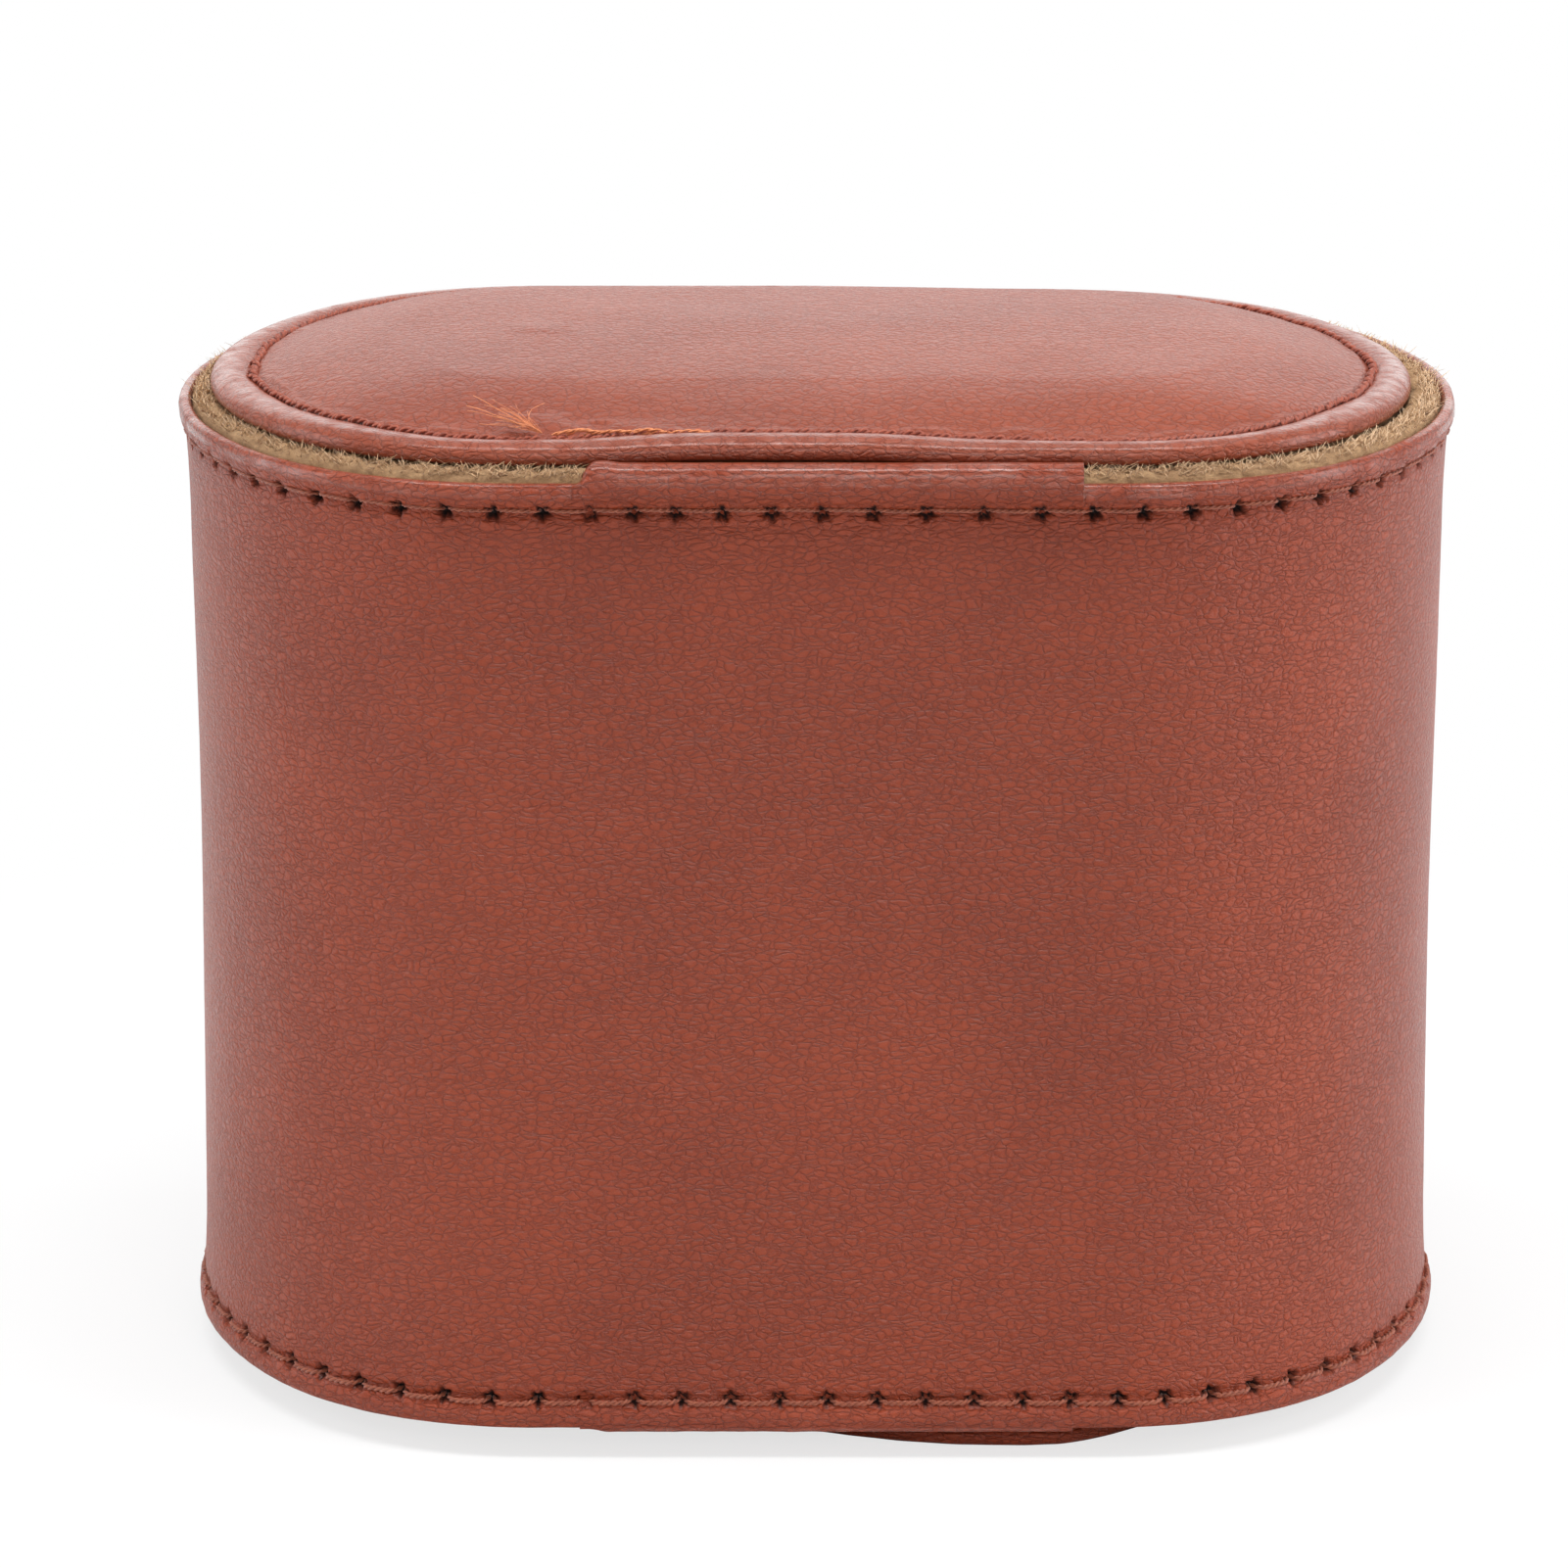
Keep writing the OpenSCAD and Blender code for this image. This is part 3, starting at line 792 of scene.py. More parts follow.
def wander(s):
    """How far a lid's hand-sewn row strays inwards from its line."""
    turn = 2 * math.pi * np.asarray(s) / ROUND_LEN
    return 0.20 * np.sin(7 * turn + 1.0) + 0.13 * np.sin(19 * turn) + 0.08 * np.sin(43 * turn + 2.0)


def pull_in(x):
    """The lid sits a little short of the wall at its right end."""
    return x - 0.9 * np.clip((np.asarray(x) - 20) / 30, 0, 1.1) ** 2


def lid_rings(profile, inner_rows, top_z, step):
    """Grids of x, y, z and inset: rings at the profile's insets, then rings to the middle line."""
    along, stat = stations(0, ROUND_LEN, step)
    along, stat = along[:-1], stat[:-1]
    rings = [(stat[:, 0] - stat[:, 2] * inset, stat[:, 1] - stat[:, 3] * inset, z, inset)
             for inset, z in profile]
    bx, by, bz, b_in = rings[-1]
    mx = np.clip(bx, -MEDIAL_HALF, MEDIAL_HALF)
    for t in inner_rows:
        z = bz + (top_z - bz) * math.sin(t * QUARTER)
        rings.append((bx * (1 - t) + mx * t, by * (1 - t), z, b_in + t * 18.0))
    return along, np.array([np.broadcast_arrays(*ring) for ring in rings]).transpose(1, 0, 2)


def closed_lid(name, x, y, z, mat, flip, layers=None):
    """A lid's piece from its grids, welded and filled along the middle line."""
    rows, cols = x.shape
    verts = np.stack([x, y, z], -1).reshape(-1, 3) * MM
    obj = new_object(name, verts, grid_faces(rows, cols, flip), mat, None, layers)
    tidy_normals(obj, weld=WELD, first=(rows - 1) * cols, close=True)
    return obj


def lid_surface(name, profile, inner_rows, top_z, mat, flip_z=False, dent=None, seed=0.0, seam_in=None,
                step=0.4):
    """A lid's cover or filling; a cover has a seam, and its crown settles as cloth inside that seam."""
    quarters = round(ROUND_LEN / step / 4)
    along, (x, y, z, ins) = lid_rings(profile, inner_rows, top_z, ROUND_LEN / (4 * quarters))
    if dent is not None:
        x = pull_in(x)
        z = z + dent(x, y, ins)
    if seam_in is not None:
        rim_row = int(np.argmin(ins[:, 0]))
        dx, dy, dz = billow(x, y, z, rim_row + int(np.argmax(ins[rim_row:, 0] > seam_in + 0.6)))
        x, y, z = x + dx, y + dy, z + dz
    pts = np.stack([x, y, z], -1)
    pebble = ripple(pts, 0.9, seed + 5)
    z = z + ripple(pts, 0.12, seed) * 0.10 * np.clip((ins - 3.5) / 4, 0, 1) + pebble * 0.018
    painted_hole_shade = np.zeros_like(z)
    # Painted highlight: a ring along the lid's border crest gets the lighter highlight colour and more
    # gloss.
    crest_highlight = 0.34 * np.exp(-(((ins - 3.2) / 1.3) ** 2)) * np.clip(0.7 + pebble, 0, 1)
    if seam_in is not None:
        d_in = ins - (seam_in + wander(along)[None, :])
        ds = (along - np.round(along / LID_STITCH_PITCH) * LID_STITCH_PITCH)[None, :]
        pit = np.exp(-((np.hypot(ds, d_in) / 0.34) ** 4))
        z = z - 0.30 * pit - 0.22 * np.exp(-((d_in / 0.5) ** 2))
        # Painted shade: the pits of the stitch holes are marked to turn near black.
        painted_hole_shade = pit * 0.9
    return closed_lid(name, x, y, -z if flip_z else z, mat, flip_z, {"painted_hole_shade": painted_hole_shade, "crest_highlight": crest_highlight})


def top_dent(x, y, ins):
    """The photographed lid is a little hollow near its front, lifts over the strip and sags beside it."""
    front = np.exp(-((y + 30) / 9.0) ** 2)
    hollow = -0.45 * np.exp(-((x + 18) / 13.0) ** 2) * front * np.clip((ins - 5.5) / 4, 0, 1)
    lift = 0.40 * np.exp(-((x + 3) / 12.5) ** 4) * np.exp(-((y + 33.5) / 4.0) ** 2)
    beside = 0.60 * np.exp(-((x - 25) / 15.0) ** 2) + 0.42 * np.exp(-((x + 26) / 9.0) ** 2)
    sag = -beside * np.exp(-((y + 29) / 6.0) ** 2) * np.clip((ins - 2.3) / 2.5, 0, 1)
    return hollow + lift + sag + settle(x, y)



def lid_edge(points, step, rounds=2):
    """A lid's profile of inset and height, from its underside round the edge to the crown."""
    return resample(smooth_line(points, rounds), step)


top_cover = lid_surface(
    "top_lid_cover", lid_edge([
        (9.0, 0.10), (3.2, 0.06), (2.4, 0.10), (2.0, 0.38), (1.93, 0.8), (2.05, 1.3), (2.5, 1.75),
        (3.3, 2.05), (4.3, 2.1), (5.2, 1.96), (5.65, SEAM_Z), (6.1, 2.0), (7.0, 2.4), (8.4, 2.9),
        (10.5, 3.5), (13.5, 4.1), (17.0, 4.6)], PROFILE_STEP),
    np.linspace(0.08, 1.0, 26), CROWN_Z, LID, dent=top_dent, seed=2.0, seam_in=SEAM_IN)
place(top_cover, "top_lid", "top_lid_leather", "leather", SEAT_Z)

top_foam = lid_surface(
    "top_lid_filling", lid_edge([
        (9.0, 0.62), (3.2, 0.60), (3.0, 0.72), (3.3, 0.85), (5.6, 0.85), (6.6, 1.25), (8.2, 1.9),
        (10.5, 2.6), (13.5, 3.2), (17.0, 3.7)], 0.6, 1),
    np.linspace(0.1, 1.0, 16), CROWN_Z - 0.95, FOAM, dent=lambda x, y, ins: settle(x, y))
place(top_foam, "top_lid", "top_lid_foam", "foam", SEAT_Z)

top_board = lid_surface(
    "top_lid_stiffener", resample(
        [(9.0, -0.55), (4.6, -0.55), (4.5, -0.5), (4.5, 0.5), (4.6, 0.55), (9.0, 0.55)], 0.5),
    np.linspace(0.2, 1.0, 5), 0.55, BOARD, dent=lambda x, y, ins: settle(x, y), step=1.0)
place(top_board, "top_lid", "top_lid_board", "board", SEAT_Z)

# The lower pad stands on its foot: a rounded edge, then a flat.
base_cover = lid_surface(
    "bottom_lid_cover", lid_edge([
        (9.0, 0.08), (5.0, 0.05), (4.2, 0.10), (3.95, 0.35), (3.92, 0.9), (4.05, 1.4), (4.4, 1.7),
        (5.0, 1.85), (5.6, 1.84), (6.4, 2.2), (7.6, 2.75), (9.2, 3.3), (11.0, 3.66), (13.0, PAD_H),
        (17.0, PAD_H)], 0.3),
    np.linspace(0.08, 1.0, 20), PAD_H, WALL, flip_z=True, seam_in=PAD_STITCH_IN)
for corner in base_cover.data.vertices:
    corner.co.z = max(corner.co.z, (0.03 - PAD_H) * MM)
place(base_cover, "bottom_lid", "bottom_lid_leather", "leather", PAD_Z)

base_foam = lid_surface(
    "bottom_lid_filling", lid_edge([
        (9.0, 0.62), (5.2, 0.60), (5.0, 0.75), (5.2, 0.95), (6.4, 1.2), (7.6, 1.85), (9.2, 2.4),
        (11.0, 2.75), (17.0, 2.9)], 0.6, 1),
    np.linspace(0.1, 1.0, 12), 2.9, FOAM, flip_z=True)
place(base_foam, "bottom_lid", "bottom_lid_foam", "foam", PAD_Z)


def lid_stitches(name, z_at, body, cad_node, seed, line_in, radius, x_at=lambda x: x, up=1):
    """A lid's hand-sewn row: overlapping, slightly slanted stitches that wander off the line."""
    rng = random.Random(seed)
    bundle = Bundle()
    count = int(ROUND_LEN / LID_STITCH_PITCH)
    for k in range(count):
        s_a = k * LID_STITCH_PITCH
        slack = rng.uniform(0.0, 0.12)
        slant = 0.16 + rng.gauss(0, 0.06)
        path = []
        for t in np.linspace(0, 1, 12):
            u = 2 * t - 1
            s = s_a + LID_STITCH_PITCH * (1.06 * t - 0.03)
            x, y, nx, ny = station(s)
            inset = line_in + float(wander(s)) + slant * u
            px, py = float(x_at(x - nx * inset)), y - ny * inset
            h = z_at(px, py) + up * (0.02 + (0.10 + slack) * (1 - u ** 4) - 0.26 * abs(u) ** 7)
            path.append(((px, py, h), (0, 0, up)))
        bundle.add(*twisted(path, radius, 0.7, sides=5))
    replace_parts(bundle.make(name, LID_THREAD, body), cad_node)


def top_stitch_z(px, py):
    return SEAT_Z + SEAM_Z - 0.06 + float(top_dent(np.array(px), np.array(py), np.array(SEAM_IN)))


lid_stitches("top_lid_stitches", top_stitch_z, "top_lid", "top_lid_thread", 31, SEAM_IN, 0.30, pull_in)
lid_stitches("bottom_lid_stitches", lambda px, py: PAD_Z - 1.80, "bottom_lid", "bottom_lid_thread", 32,
             PAD_STITCH_IN, 0.18, up=-1)


def lid_lining(name, seat_z, direction, body, cad_node, seed, plug_in, deep):
    """Felt-covered plug on a lid's inner side, with rounded edges."""
    edge = [(plug_in + 3.0, 0.45), (plug_in + 3.05, 0.02), (plug_in + 0.4, 0.0), (plug_in + 0.05, -0.3),
            (plug_in, -deep / 2), (plug_in + 0.1, 0.6 - deep), (plug_in + 0.6, 0.08 - deep),
            (plug_in + 1.7, -deep), (9.0, -deep), (14.0, -deep)]
    _, (x, y, z, _) = lid_rings(lid_edge(edge, 0.6, 1), np.linspace(0.1, 1, 14), -deep, 1.0)
    z = z + ripple(np.stack([x, y, z], -1), 0.7, seed) * 0.05
    obj = closed_lid(name, x, y, seat_z + direction * z, FELT, direction > 0)
    place(obj, body, cad_node, "felt")


LID_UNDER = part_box("top_lid_leather")[0][2] / MM
lid_lining("top_lid_felt", LID_UNDER, 1, "top_lid", "top_lid_lining", 3.0, 3.9, 3.0)
lid_lining("bottom_lid_felt", PAD_Z, -1, "bottom_lid", "bottom_lid_lining", 8.0, 4.2, 1.8)


# ---------------------------------------------------------------- hinge strips

def strip_profile(upper):
    """Outer face of a folded strip from the stitches to the lid: offset, height above the roll."""
    start = [(0.20, -3.1), (0.26, -2.6), (0.32, -2.3), (0.60, -1.8), (0.84, -1.2)]
    if upper:
        outer = start + [(0.92, -0.3), (0.92, 0.4), (0.70, 1.05), (0.25, 1.42), (-0.4, 1.52), (-1.2, 1.45),
                         (-1.9, 1.2)]
    else:
        outer = start + [(0.84, -0.5), (0.66, 0.1), (0.20, 0.44), (-0.5, 0.50), (-2.0, 0.48),
                         (-3.0, 0.44), (-3.8, 0.36)]
    return resample(smooth_line(outer), 0.2)


def strip_rows(line, shoulder):
    """Section of the strip as a closed ring; at the shoulder it sinks into the rim roll."""
    off, z = line[:, 0], line[:, 1]
    calm_z = np.minimum(z, 0.02 - 0.9 * np.clip(0.15 - off, 0, 0.45))
    outer = np.stack([np.clip(off, -0.28, 0.84), calm_z], -1) * (1 - shoulder) + line * shoulder
    d = np.gradient(outer, axis=0)
    d /= np.linalg.norm(d, axis=1)[:, None] + 1e-9
    inner = outer + np.stack([-d[:, 1], d[:, 0]], -1) * (0.25 + 0.47 * shoulder)
    return np.vstack([outer, inner[::-1]])


def hinge_strip(name, upper, cad_node):
    line = strip_profile(upper)
    xs = np.r_[np.arange(STRIP_S0 - 0.9, STRIP_S1, 0.2), STRIP_S1 - 0.03, STRIP_S1]
    n = len(line)
    rows = np.stack([strip_rows(line, float(step_up(x, STRIP_S0 + 0.35, 1.9))) for x in xs])
    off, z = rows[..., 0], rows[..., 1]
    x = np.repeat(xs[:, None], 2 * n, 1)
    high = np.clip((z + 0.2) / 1.2, 0, 1)
    crease = np.exp(-((x - STRIP_S0 - 1.7) / 0.8) ** 2) * high
    z = z + (0.16 if upper else 0.05) * crease
    x = x - 0.5 * high * np.exp(-((x - STRIP_S0 - 0.6) / 0.9) ** 2) * (1 if upper else 0.3)
    face = np.zeros_like(off)
    face[:, :n] = 1
    pts = np.stack([x, off, z], -1)
    wrinkle = ripple(pts * np.array([1, 1, 1.6]), 1.0, 13.0) * 0.6 + ripple(pts, 0.3, 2.0) * 0.6
    off = off + face * wrinkle * 0.05
    z = z + face * wrinkle * 0.05
    world_z = (Z1 + z) if upper else (Z0 - z)
    line_z, holes = (STITCH_TOP, TOP_HOLES) if upper else (STITCH_LOW, LOW_HOLES)
    hole, lip, pull = hole_field(x, world_z, line_z, holes)
    low_face = face * (z < -1.5)
    seam = np.exp(-((world_z - line_z) / 0.42) ** 2)
    off = off - low_face * (0.55 * hole + 0.14 * pull + 0.12 * seam)
    grid = np.stack([x, -CASE_D / 2 - off, world_z], -1) * MM
    # Painted highlight: the strip's upper face gets the lighter highlight colour and more gloss.
    crest_highlight = np.clip(face * (z > -0.1) * (0.55 + wrinkle), 0, 1) * 0.4
    cut = np.zeros_like(off)
    cut[-1] = 1
    # Painted shade: the pits of the holes on the strip's lower face are marked to turn near black.
    layers = {"painted_hole_shade": np.clip(low_face * 1.5 * hole, 0, 1), "crest_highlight": crest_highlight, "cut": cut}
    obj = swept(name, grid, WALL, None, layers, flip=upper)
    tidy_normals(obj)
    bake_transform(obj)
    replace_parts(obj, cad_node)


hinge_strip("top_strip", True, "top_hinge_strip")
hinge_strip("bottom_strip", False, "bottom_hinge_strip")


def sagging_fold():
    """A loose fold at the lower hinge, which hangs to the floor under the wall's front right."""
    xs = np.arange(0.2, 31.5, 0.4)
    rows = []
    for x in xs:
        swell = max(0.02, 1 - ((x - 15.8) / 15.7) ** 2)
        back = 4.8 * min(max((x - 20) / 11, 0), 1) ** 1.5
        inner = back - 31.3
        ring = [(inner + 1.0, 1.95), (inner - 2.9 * swell, 1.85), (inner - 3.7 * swell, 1.35),
                (inner - 3.95 * swell, 0.7), (inner - 3.5 * swell, 0.1), (inner - 2.6 * swell, 0.03),
                (inner + 1.0, 0.03), (inner + 1.4, 1.0)]
        line = resample(smooth_line(ring + ring[:1]), 0.01)[:-1]
        pick = np.linspace(0, len(line) - 1, 41).astype(int)[:-1]
        rows.append(np.column_stack([np.full(40, x), line[pick]]))
    grid = np.array(rows)
    grid[..., 1] += ripple(grid, 0.5, 8.0) * 0.10
    zero = np.zeros(grid.shape[:2])
    obj = swept("lower_hinge_fold", grid * MM, WALL, None, {"painted_hole_shade": zero, "crest_highlight": zero, "cut": zero})
    tidy_normals(obj)
    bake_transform(obj)


sagging_fold()


# ---------------------------------------------------------------- rear: hinge strip, tab, snap

PATCH_STEP = 0.4
EDGE_ROUND = 0.45


def rear_patch(name, s0, s1, z_low, z_high, base_off, thick, outline=None):
    """A leather patch that lies on the wall's rear: a closed sheet with rounded edges."""
    along, _ = stations(s0, s1, PATCH_STEP)
    zs = np.linspace(z_low, z_high, max(3, int((z_high - z_low) / PATCH_STEP)))
    S, Z = np.meshgrid(along, zs, indexing="ij")
    if outline is not None:
        S, Z = outline(S, Z)
    stat = np.array([station(s) for s in S.reshape(-1)]).reshape(S.shape + (4,))
    rows, cols = S.shape
    i, j = np.arange(rows)[:, None], np.arange(cols)[None, :]
    ring = np.minimum(np.minimum(i, rows - 1 - i), np.minimum(j, cols - 1 - j)) * PATCH_STEP
    fall = EDGE_ROUND * np.clip(1 - ring / (EDGE_ROUND * 2.2), 0, 1) ** 2
    lower = at(stat, np.full_like(S, base_off), Z)
    upper = at(stat, base_off + thick - fall + ripple(lower / MM, 0.5, 6.0) * 0.05, Z)
    verts = np.concatenate([upper.reshape(-1, 3), lower.reshape(-1, 3)])
    n = rows * cols
    faces = grid_faces(rows, cols, ring=False)
    faces += [tuple(n + k for k in f[::-1]) for f in faces]
    border = list(range(cols)) + [r * cols + cols - 1 for r in range(1, rows)]
    border += [(rows - 1) * cols + c for c in range(cols - 2, -1, -1)]
    border += [r * cols for r in range(rows - 2, 0, -1)]
    for a, b in zip(border, border[1:] + border[:1]):
        faces.append((b, a, a + n, b + n))
    zero = np.zeros(2 * n)
    obj = new_object(name, verts, faces, WALL, None, {"painted_hole_shade": zero, "crest_highlight": zero})
    tidy_normals(obj)
    return obj


HINGE_S = REAR_START + FLAT_HALF - HINGE_X
flap_strip = rear_patch("flap_strip", HINGE_S - 8, HINGE_S + 8, Z0 + 5.0, Z1 - 5.0, 0.04, 0.95)
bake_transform(flap_strip)
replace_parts(flap_strip, "flap_hinge_strip")


def stitch_line(bundle, points, normals, pitch, radius):
    """Stitches along an open line of points with normals, in millimetres."""
    pts, nrm = np.array(points), np.array(normals)
    d = np.r_[0, np.cumsum(np.linalg.norm(np.diff(pts, axis=0), axis=1))]
    count = int(d[-1] / pitch)
    for k in range(count):
        path = []
        for t in np.linspace(0, 1, 12):
            u = 2 * t - 1
            here = (k + 0.08 + 0.84 * t) * pitch
            p = np.array([np.interp(here, d, pts[:, c]) for c in range(3)])
            n = np.array([np.interp(here, d, nrm[:, c]) for c in range(3)])
            lift = 0.10 + 0.12 * (1 - u ** 4) - 0.30 * abs(u) ** 7
            path.append((tuple(p + n * lift), tuple(n)))
        bundle.add(*twisted(path, radius, 0.85, sides=5))


def patch_line(s_values, z_values, off):
    pts, nrm = [], []
    for s, z in zip(s_values, z_values):
        x, y, nx, ny = station(s)
        pts.append((x + nx * off, y + ny * off, z))
        nrm.append((nx, ny, 0))
    return pts, nrm


strip_z = np.linspace(Z0 + 6.2, Z1 - 6.2, 60)
for side, body in ((-6.4, "shell"), (6.4, "flap")):
    seam = Bundle()
    stitch_line(seam, *patch_line([HINGE_S + side] * 60, strip_z, 0.86), 4.0, 0.18)
    seam.make("hinge_stitches_" + body, THREAD, body)


TAB_W = 26.0
SNAP_X = 38.0
TAB_END = SNAP_X + 7.6
TAB_ROOT = GAP_LEFT - 17.5
TAB_FACE = 1.38


def plan_s(x):
    """Distance along the plan of a rear point left of the middle."""
    x = np.asarray(x, float)
    flat = REAR_START + FLAT_HALF + x
    bent = REAR_START + 2 * FLAT_HALF + CORNER_R * np.arcsin(np.clip((x - FLAT_HALF) / CORNER_R, -1, 1))
    return np.where(x < FLAT_HALF, flat, bent)


def tab_outline(S, Z):
    """Maps a unit grid to the tab: square at its root, round at its tip."""
    u = (S - S.min()) / (S.max() - S.min())
    v = 2 * (Z - Z.min()) / (Z.max() - Z.min()) - 1
    half = TAB_W / 2
    centre = TAB_END - half
    reach = centre + half * np.sqrt(np.clip(1 - v ** 2, 0, 1))
    x = TAB_ROOT + (reach - TAB_ROOT) * u
    return plan_s(x), MID_Z + v * half * 0.995


tab = rear_patch("closing_tab", 0, 29, 0, 26, 0.30, 1.12, outline=tab_outline)
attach(tab, "flap")
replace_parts(tab, "flap_tab")
tab_seam = Bundle()
arc = np.linspace(-QUARTER, QUARTER, 40)
in_r = TAB_W / 2 - 2.0
side_x = np.linspace(TAB_ROOT + 2, TAB_END - TAB_W / 2, 14)[:-1]
seam_x = np.r_[side_x, TAB_END - TAB_W / 2 + in_r * np.cos(arc), side_x[::-1]]
seam_z = MID_Z + np.r_[np.full(13, -in_r), in_r * np.sin(arc), np.full(13, in_r)]
stitch_line(tab_seam, *patch_line(plan_s(seam_x), seam_z, TAB_FACE), 3.2, 0.17)
cross_z = np.linspace(MID_Z - in_r, MID_Z + in_r, 14)
stitch_line(tab_seam, *patch_line(plan_s(np.full(14, TAB_ROOT + 2.0)), cross_z, TAB_FACE), 3.2, 0.17)
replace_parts(tab_seam.make("tab_stitches", THREAD, "flap"), "flap_tab_thread")


def lathe(name, section, origin, axis, mat, count=72):
    """A turned piece: radius and height pairs about an axis, in millimetres."""
    axis = Vector(axis).normalized()
    a = axis.orthogonal().normalized()
    b = axis.cross(a)
    verts = []
    for r, h in section:
        for k in range(count):
            t = 2 * math.pi * k / count
            verts.append((Vector(origin) + axis * h + (a * math.cos(t) + b * math.sin(t)) * r) * MM)
    obj = new_object(name, verts, grid_faces(len(section), count), mat, None)
    tidy_normals(obj, weld=WELD / 10, close=True)
    return obj


snap_tilt = math.asin((SNAP_X - FLAT_HALF) / CORNER_R)
snap_axis = (-math.sin(snap_tilt), math.cos(snap_tilt), 0)
snap_origin = (-FLAT_HALF + CORNER_R * snap_axis[0], CORNER_Y + CORNER_R * snap_axis[1], MID_Z)
cap_section = smooth_line([(4.4, 1.42), (4.55, 1.5), (4.52, 1.75), (4.3, 1.94), (3.95, 1.98), (3.7, 1.90),
                           (3.5, 1.93), (3.0, 2.2), (2.0, 2.42), (1.0, 2.5), (0.0, 2.51)], 2)
cap = lathe("snap_cap_disc", [(4.4, 1.42)] + [tuple(p) for p in cap_section], snap_origin, snap_axis, METAL)
place(cap, "flap", "snap_cap", "snap_metal")


# ---------------------------------------------------------------- pillow

def pillow():
    low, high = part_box("pillow_cover")
    low, high = np.array(low) / MM, np.array(high) / MM
    cx, cy = (low[0] + high[0]) / 2, (low[1] + high[1]) / 2
    half_w, half_d = (high[0] - low[0]) / 2, (high[1] - low[1]) / 2
    length = high[2] - low[2]
    rows, cols = 60, 120
    ring = []
    for i in range(rows):
        t = -math.cos(math.pi * i / (rows - 1))
        row = []
        for k in range(cols):
            a = 2 * math.pi * k / cols
            c, s = math.cos(a), math.sin(a)
            r = (abs(c) ** 2.6 + abs(s) ** 2.6) ** (-1 / 2.6)
            shrink = (1 - abs(t) ** 7) ** (1 / 7) if abs(t) < 1 else 0.0
            shrink = 0.04 + 0.96 * shrink
            pinch = 1 - 0.05 * math.exp(-((abs(t) - 0.93) / 0.05) ** 2)
            x, y = r * c * half_w * shrink * pinch, r * s * half_d * shrink * pinch
            drop = 0.13 * (x / half_w) ** 2
            row.append((cx + x, cy + y, (low[2] + high[2]) / 2 + t * length / 2 * (1 - drop)))
        ring.append(row)
    grid = np.array(ring)
    grid[..., 0] += ripple(grid, 0.08, 40.0) * 0.5
    obj = swept("watch_pillow", grid * MM, SUEDE, None)
    tidy_normals(obj)
    before = grid.reshape(-1, 3)
    after = run_cloth(bpy.data.objects.new("pillow_cloth", obj.data.copy()), [], 2.5, 0.035) / MM
    moved = before + capped(after - before, 0.9)
    inside = np.clip(moved, low + 0.02, high - 0.02)
    obj.data.vertices.foreach_set("co", (inside * MM).reshape(-1))
    obj.data.update()
    points = np.array([v.co for v in obj.data.vertices])
    middle = (points.min(axis=0) + points.max(axis=0)) / 2
    reach = (points.max(axis=0) - points.min(axis=0)) / 2
    smaller = middle + (points - middle) * (1 - 0.002 / reach)
    core = swept("pillow_filling", smaller.reshape(grid.shape), FOAM, None)
    tidy_normals(core)
    place(core, "shell", "pillow_foam", "foam")
    place(obj, "shell", "pillow_cover", "pillow_suede")


pillow()


# ---------------------------------------------------------------- loose thread tuft

def tuft():
    """A frayed end that stands up from the seam, and slack strands along the seam behind the hinge strip."""
    rng = random.Random(77)
    bundle = Bundle()
    root = np.array([-22.4, -31.0, SEAT_Z + 1.9])
    for k in range(30):
        heading = rng.gauss(2.75, 0.30)
        long = rng.uniform(2.0, 6.6)
        bend = rng.gauss(0, 0.3)
        rise = rng.uniform(1.0, 3.1) * long / 6
        path = []
        for t in np.linspace(0, 1, 9):
            a = heading + bend * t
            p = root + np.array([math.cos(a), math.sin(a) * 0.8, 0]) * long * t
            p[2] += 0.15 + rise * t ** 1.2 + 0.25 * math.sin(math.pi * t)
            path.append((tuple(p), (0, 0, 1)))
        bundle.add(*twisted(path, rng.uniform(0.03, 0.07), 0.4, sides=4, plies=1))
    for start, long in ((-21.6, 4.6), (-19.0, 5.4), (-15.8, 4.2), (-12.6, 4.6), (-14.2, 2.6), (-20.4, 2.4)):
        sway, arch = rng.uniform(-0.3, 0.3), rng.uniform(0.25, 0.6)
        path = []
        for t in np.linspace(0, 1, 14):
            x = start + long * t
            y = -31.05 - 0.25 * math.sin(math.pi * t) + sway * (t - 0.5)
            path.append(((x, y, SEAT_Z + 1.95 + arch * math.sin(math.pi * t)), (0, 0, 1)))
        bundle.add(*twisted(path, 0.17, 0.6, sides=5))
    bundle.make("loose_thread", LOOSE, "top_lid")


tuft()


# ---------------------------------------------------------------- camera, floor and light

FOCAL_PX = 6953.0
PHOTO_PX = 1601.0
SENSOR = 36.0
AIM = Vector((-2.78, 0, 48.15)) * MM
EYE = Vector((-2.78, -571.0, 208.25)) * MM


def camera():
    cam = bpy.data.cameras.new("photo_camera")
    cam.sensor_width = SENSOR
    cam.lens = FOCAL_PX / PHOTO_PX * SENSOR
    cam.clip_start = 0.01
    obj = bpy.data.objects.new("photo_camera", cam)
    obj.location = EYE
    obj.rotation_euler = (AIM - EYE).to_track_quat("-Z", "Y").to_euler()
    bpy.context.scene.collection.objects.link(obj)
    bpy.context.scene.camera = obj


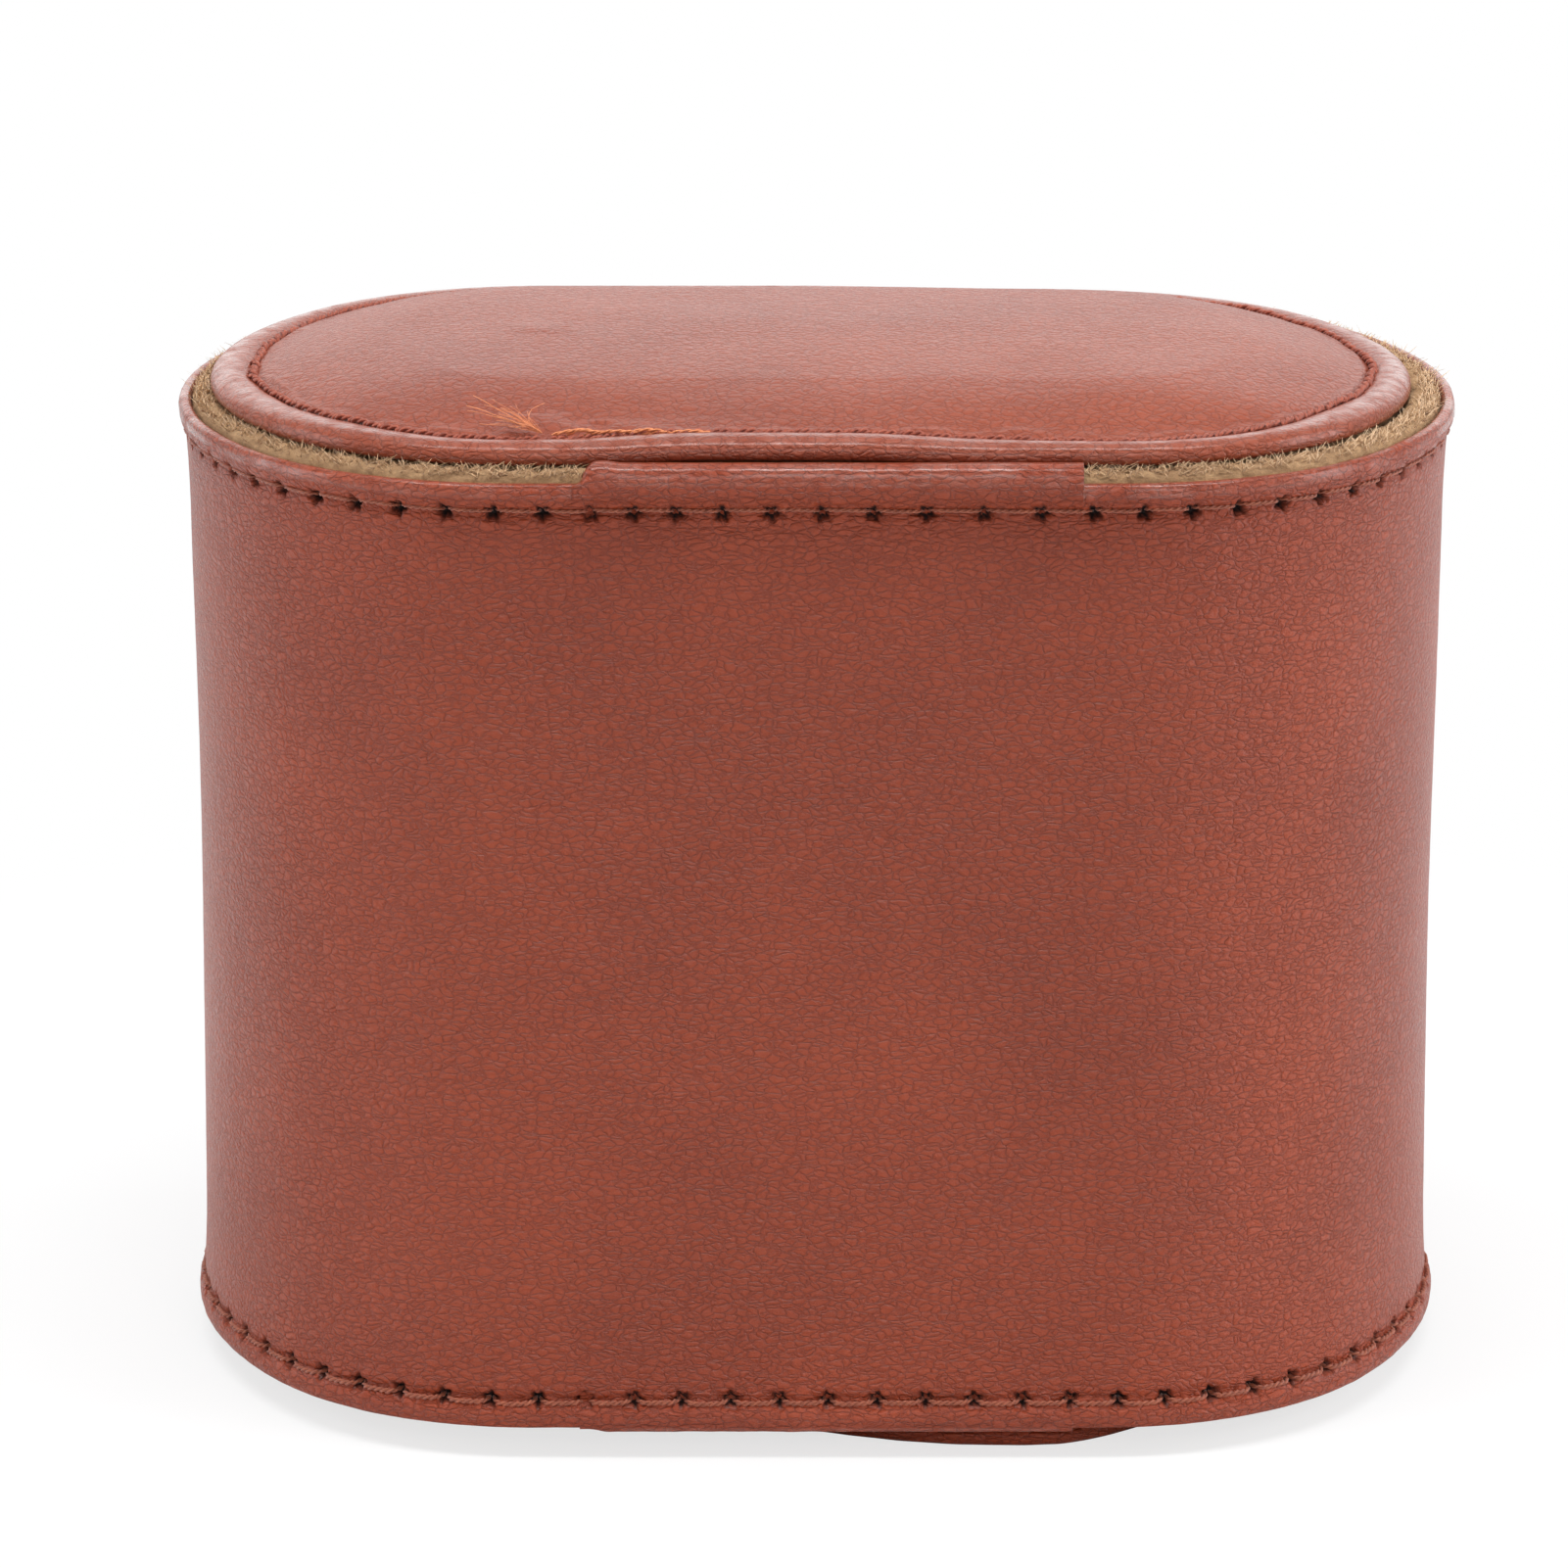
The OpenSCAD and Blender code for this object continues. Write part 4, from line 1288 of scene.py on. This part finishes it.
def floor():
    """A white floor: bright where the camera looks past the case, with a soft shadow near it."""
    size = 3.0
    corners = [(-size, -size, 0), (size, -size, 0), (size, size, 0), (-size, size, 0)]
    mat, tree = material("floor_mat")
    tree.nodes.clear()
    out = node(tree, "ShaderNodeOutputMaterial")
    diffuse = node(tree, "ShaderNodeBsdfDiffuse", Color=rgb(0.86, 0.86, 0.86))
    glow = node(tree, "ShaderNodeEmission", Color=rgb(1, 1, 1), Strength=1.0)
    far = node(tree, "ShaderNodeVectorMath", operation="LENGTH")
    feed(tree, node(tree, "ShaderNodeNewGeometry").outputs["Position"], far.inputs[0])
    fade = node(tree, "ShaderNodeMapRange")
    for key, value in (("From Min", 0.05), ("From Max", 0.16), ("To Min", 0.72), ("To Max", 1.0),
                       ("Value", far.outputs["Value"])):
        feed(tree, value, fade.inputs[key])
    seen = node(tree, "ShaderNodeLightPath").outputs["Is Camera Ray"]
    blend = node(tree, "ShaderNodeMixShader")
    for socket, value in zip(blend.inputs, (times(tree, seen, fade.outputs["Result"]), diffuse.outputs[0],
                                            glow.outputs[0])):
        feed(tree, value, socket)
    feed(tree, blend.outputs[0], out.inputs["Surface"])
    new_object("floor", corners, [(0, 1, 2, 3)], mat, None)


def lamp(name, place, aim, size, power, colour=(1, 1, 1)):
    light = bpy.data.lights.new(name, "AREA")
    light.shape = "RECTANGLE"
    light.size, light.size_y = size
    light.energy = power
    light.color = colour
    obj = bpy.data.objects.new(name, light)
    obj.location = place
    obj.rotation_euler = (Vector(aim) - Vector(place)).to_track_quat("-Z", "Y").to_euler()
    bpy.context.scene.collection.objects.link(obj)


def world():
    w = bpy.data.worlds.new("studio")
    bpy.context.scene.world = w
    w.use_nodes = True
    tree = w.node_tree
    back = tree.nodes["Background"]
    back.inputs["Color"].default_value = rgb(1, 1, 1)
    path = node(tree, "ShaderNodeLightPath")
    seen = maths(tree, "MAXIMUM", path.outputs["Is Camera Ray"], path.outputs["Is Transmission Ray"])
    feed(tree, plus(tree, 0.24, times(tree, seen, 0.76)), back.inputs["Strength"])


camera()
floor()
lamp("top_soft", (0, 0.10, 0.80), (0, 0, 0.08), (0.9, 0.6), 1.4)
lamp("top_bar", (0, -0.11, 0.60), (0, -0.03, 0.08), (0.6, 0.10), 2.8)
lamp("back_soft", (0, 1.10, 0.42), (0, 0, 0.08), (1.6, 0.8), 5.0)
lamp("left_soft", (-0.80, 0.05, 0.25), (0, 0, 0.04), (0.5, 0.6), 3.4, (0.93, 0.96, 1.0))
lamp("right_soft", (0.80, 0.0, 0.25), (0, 0, 0.04), (0.5, 0.6), 5.0, (0.95, 0.97, 1.0))
lamp("front_soft", (0.15, -1.0, 0.55), (0, 0, 0.04), (0.7, 0.4), 3.0)
world()
bpy.context.scene.view_settings.view_transform = "Standard"
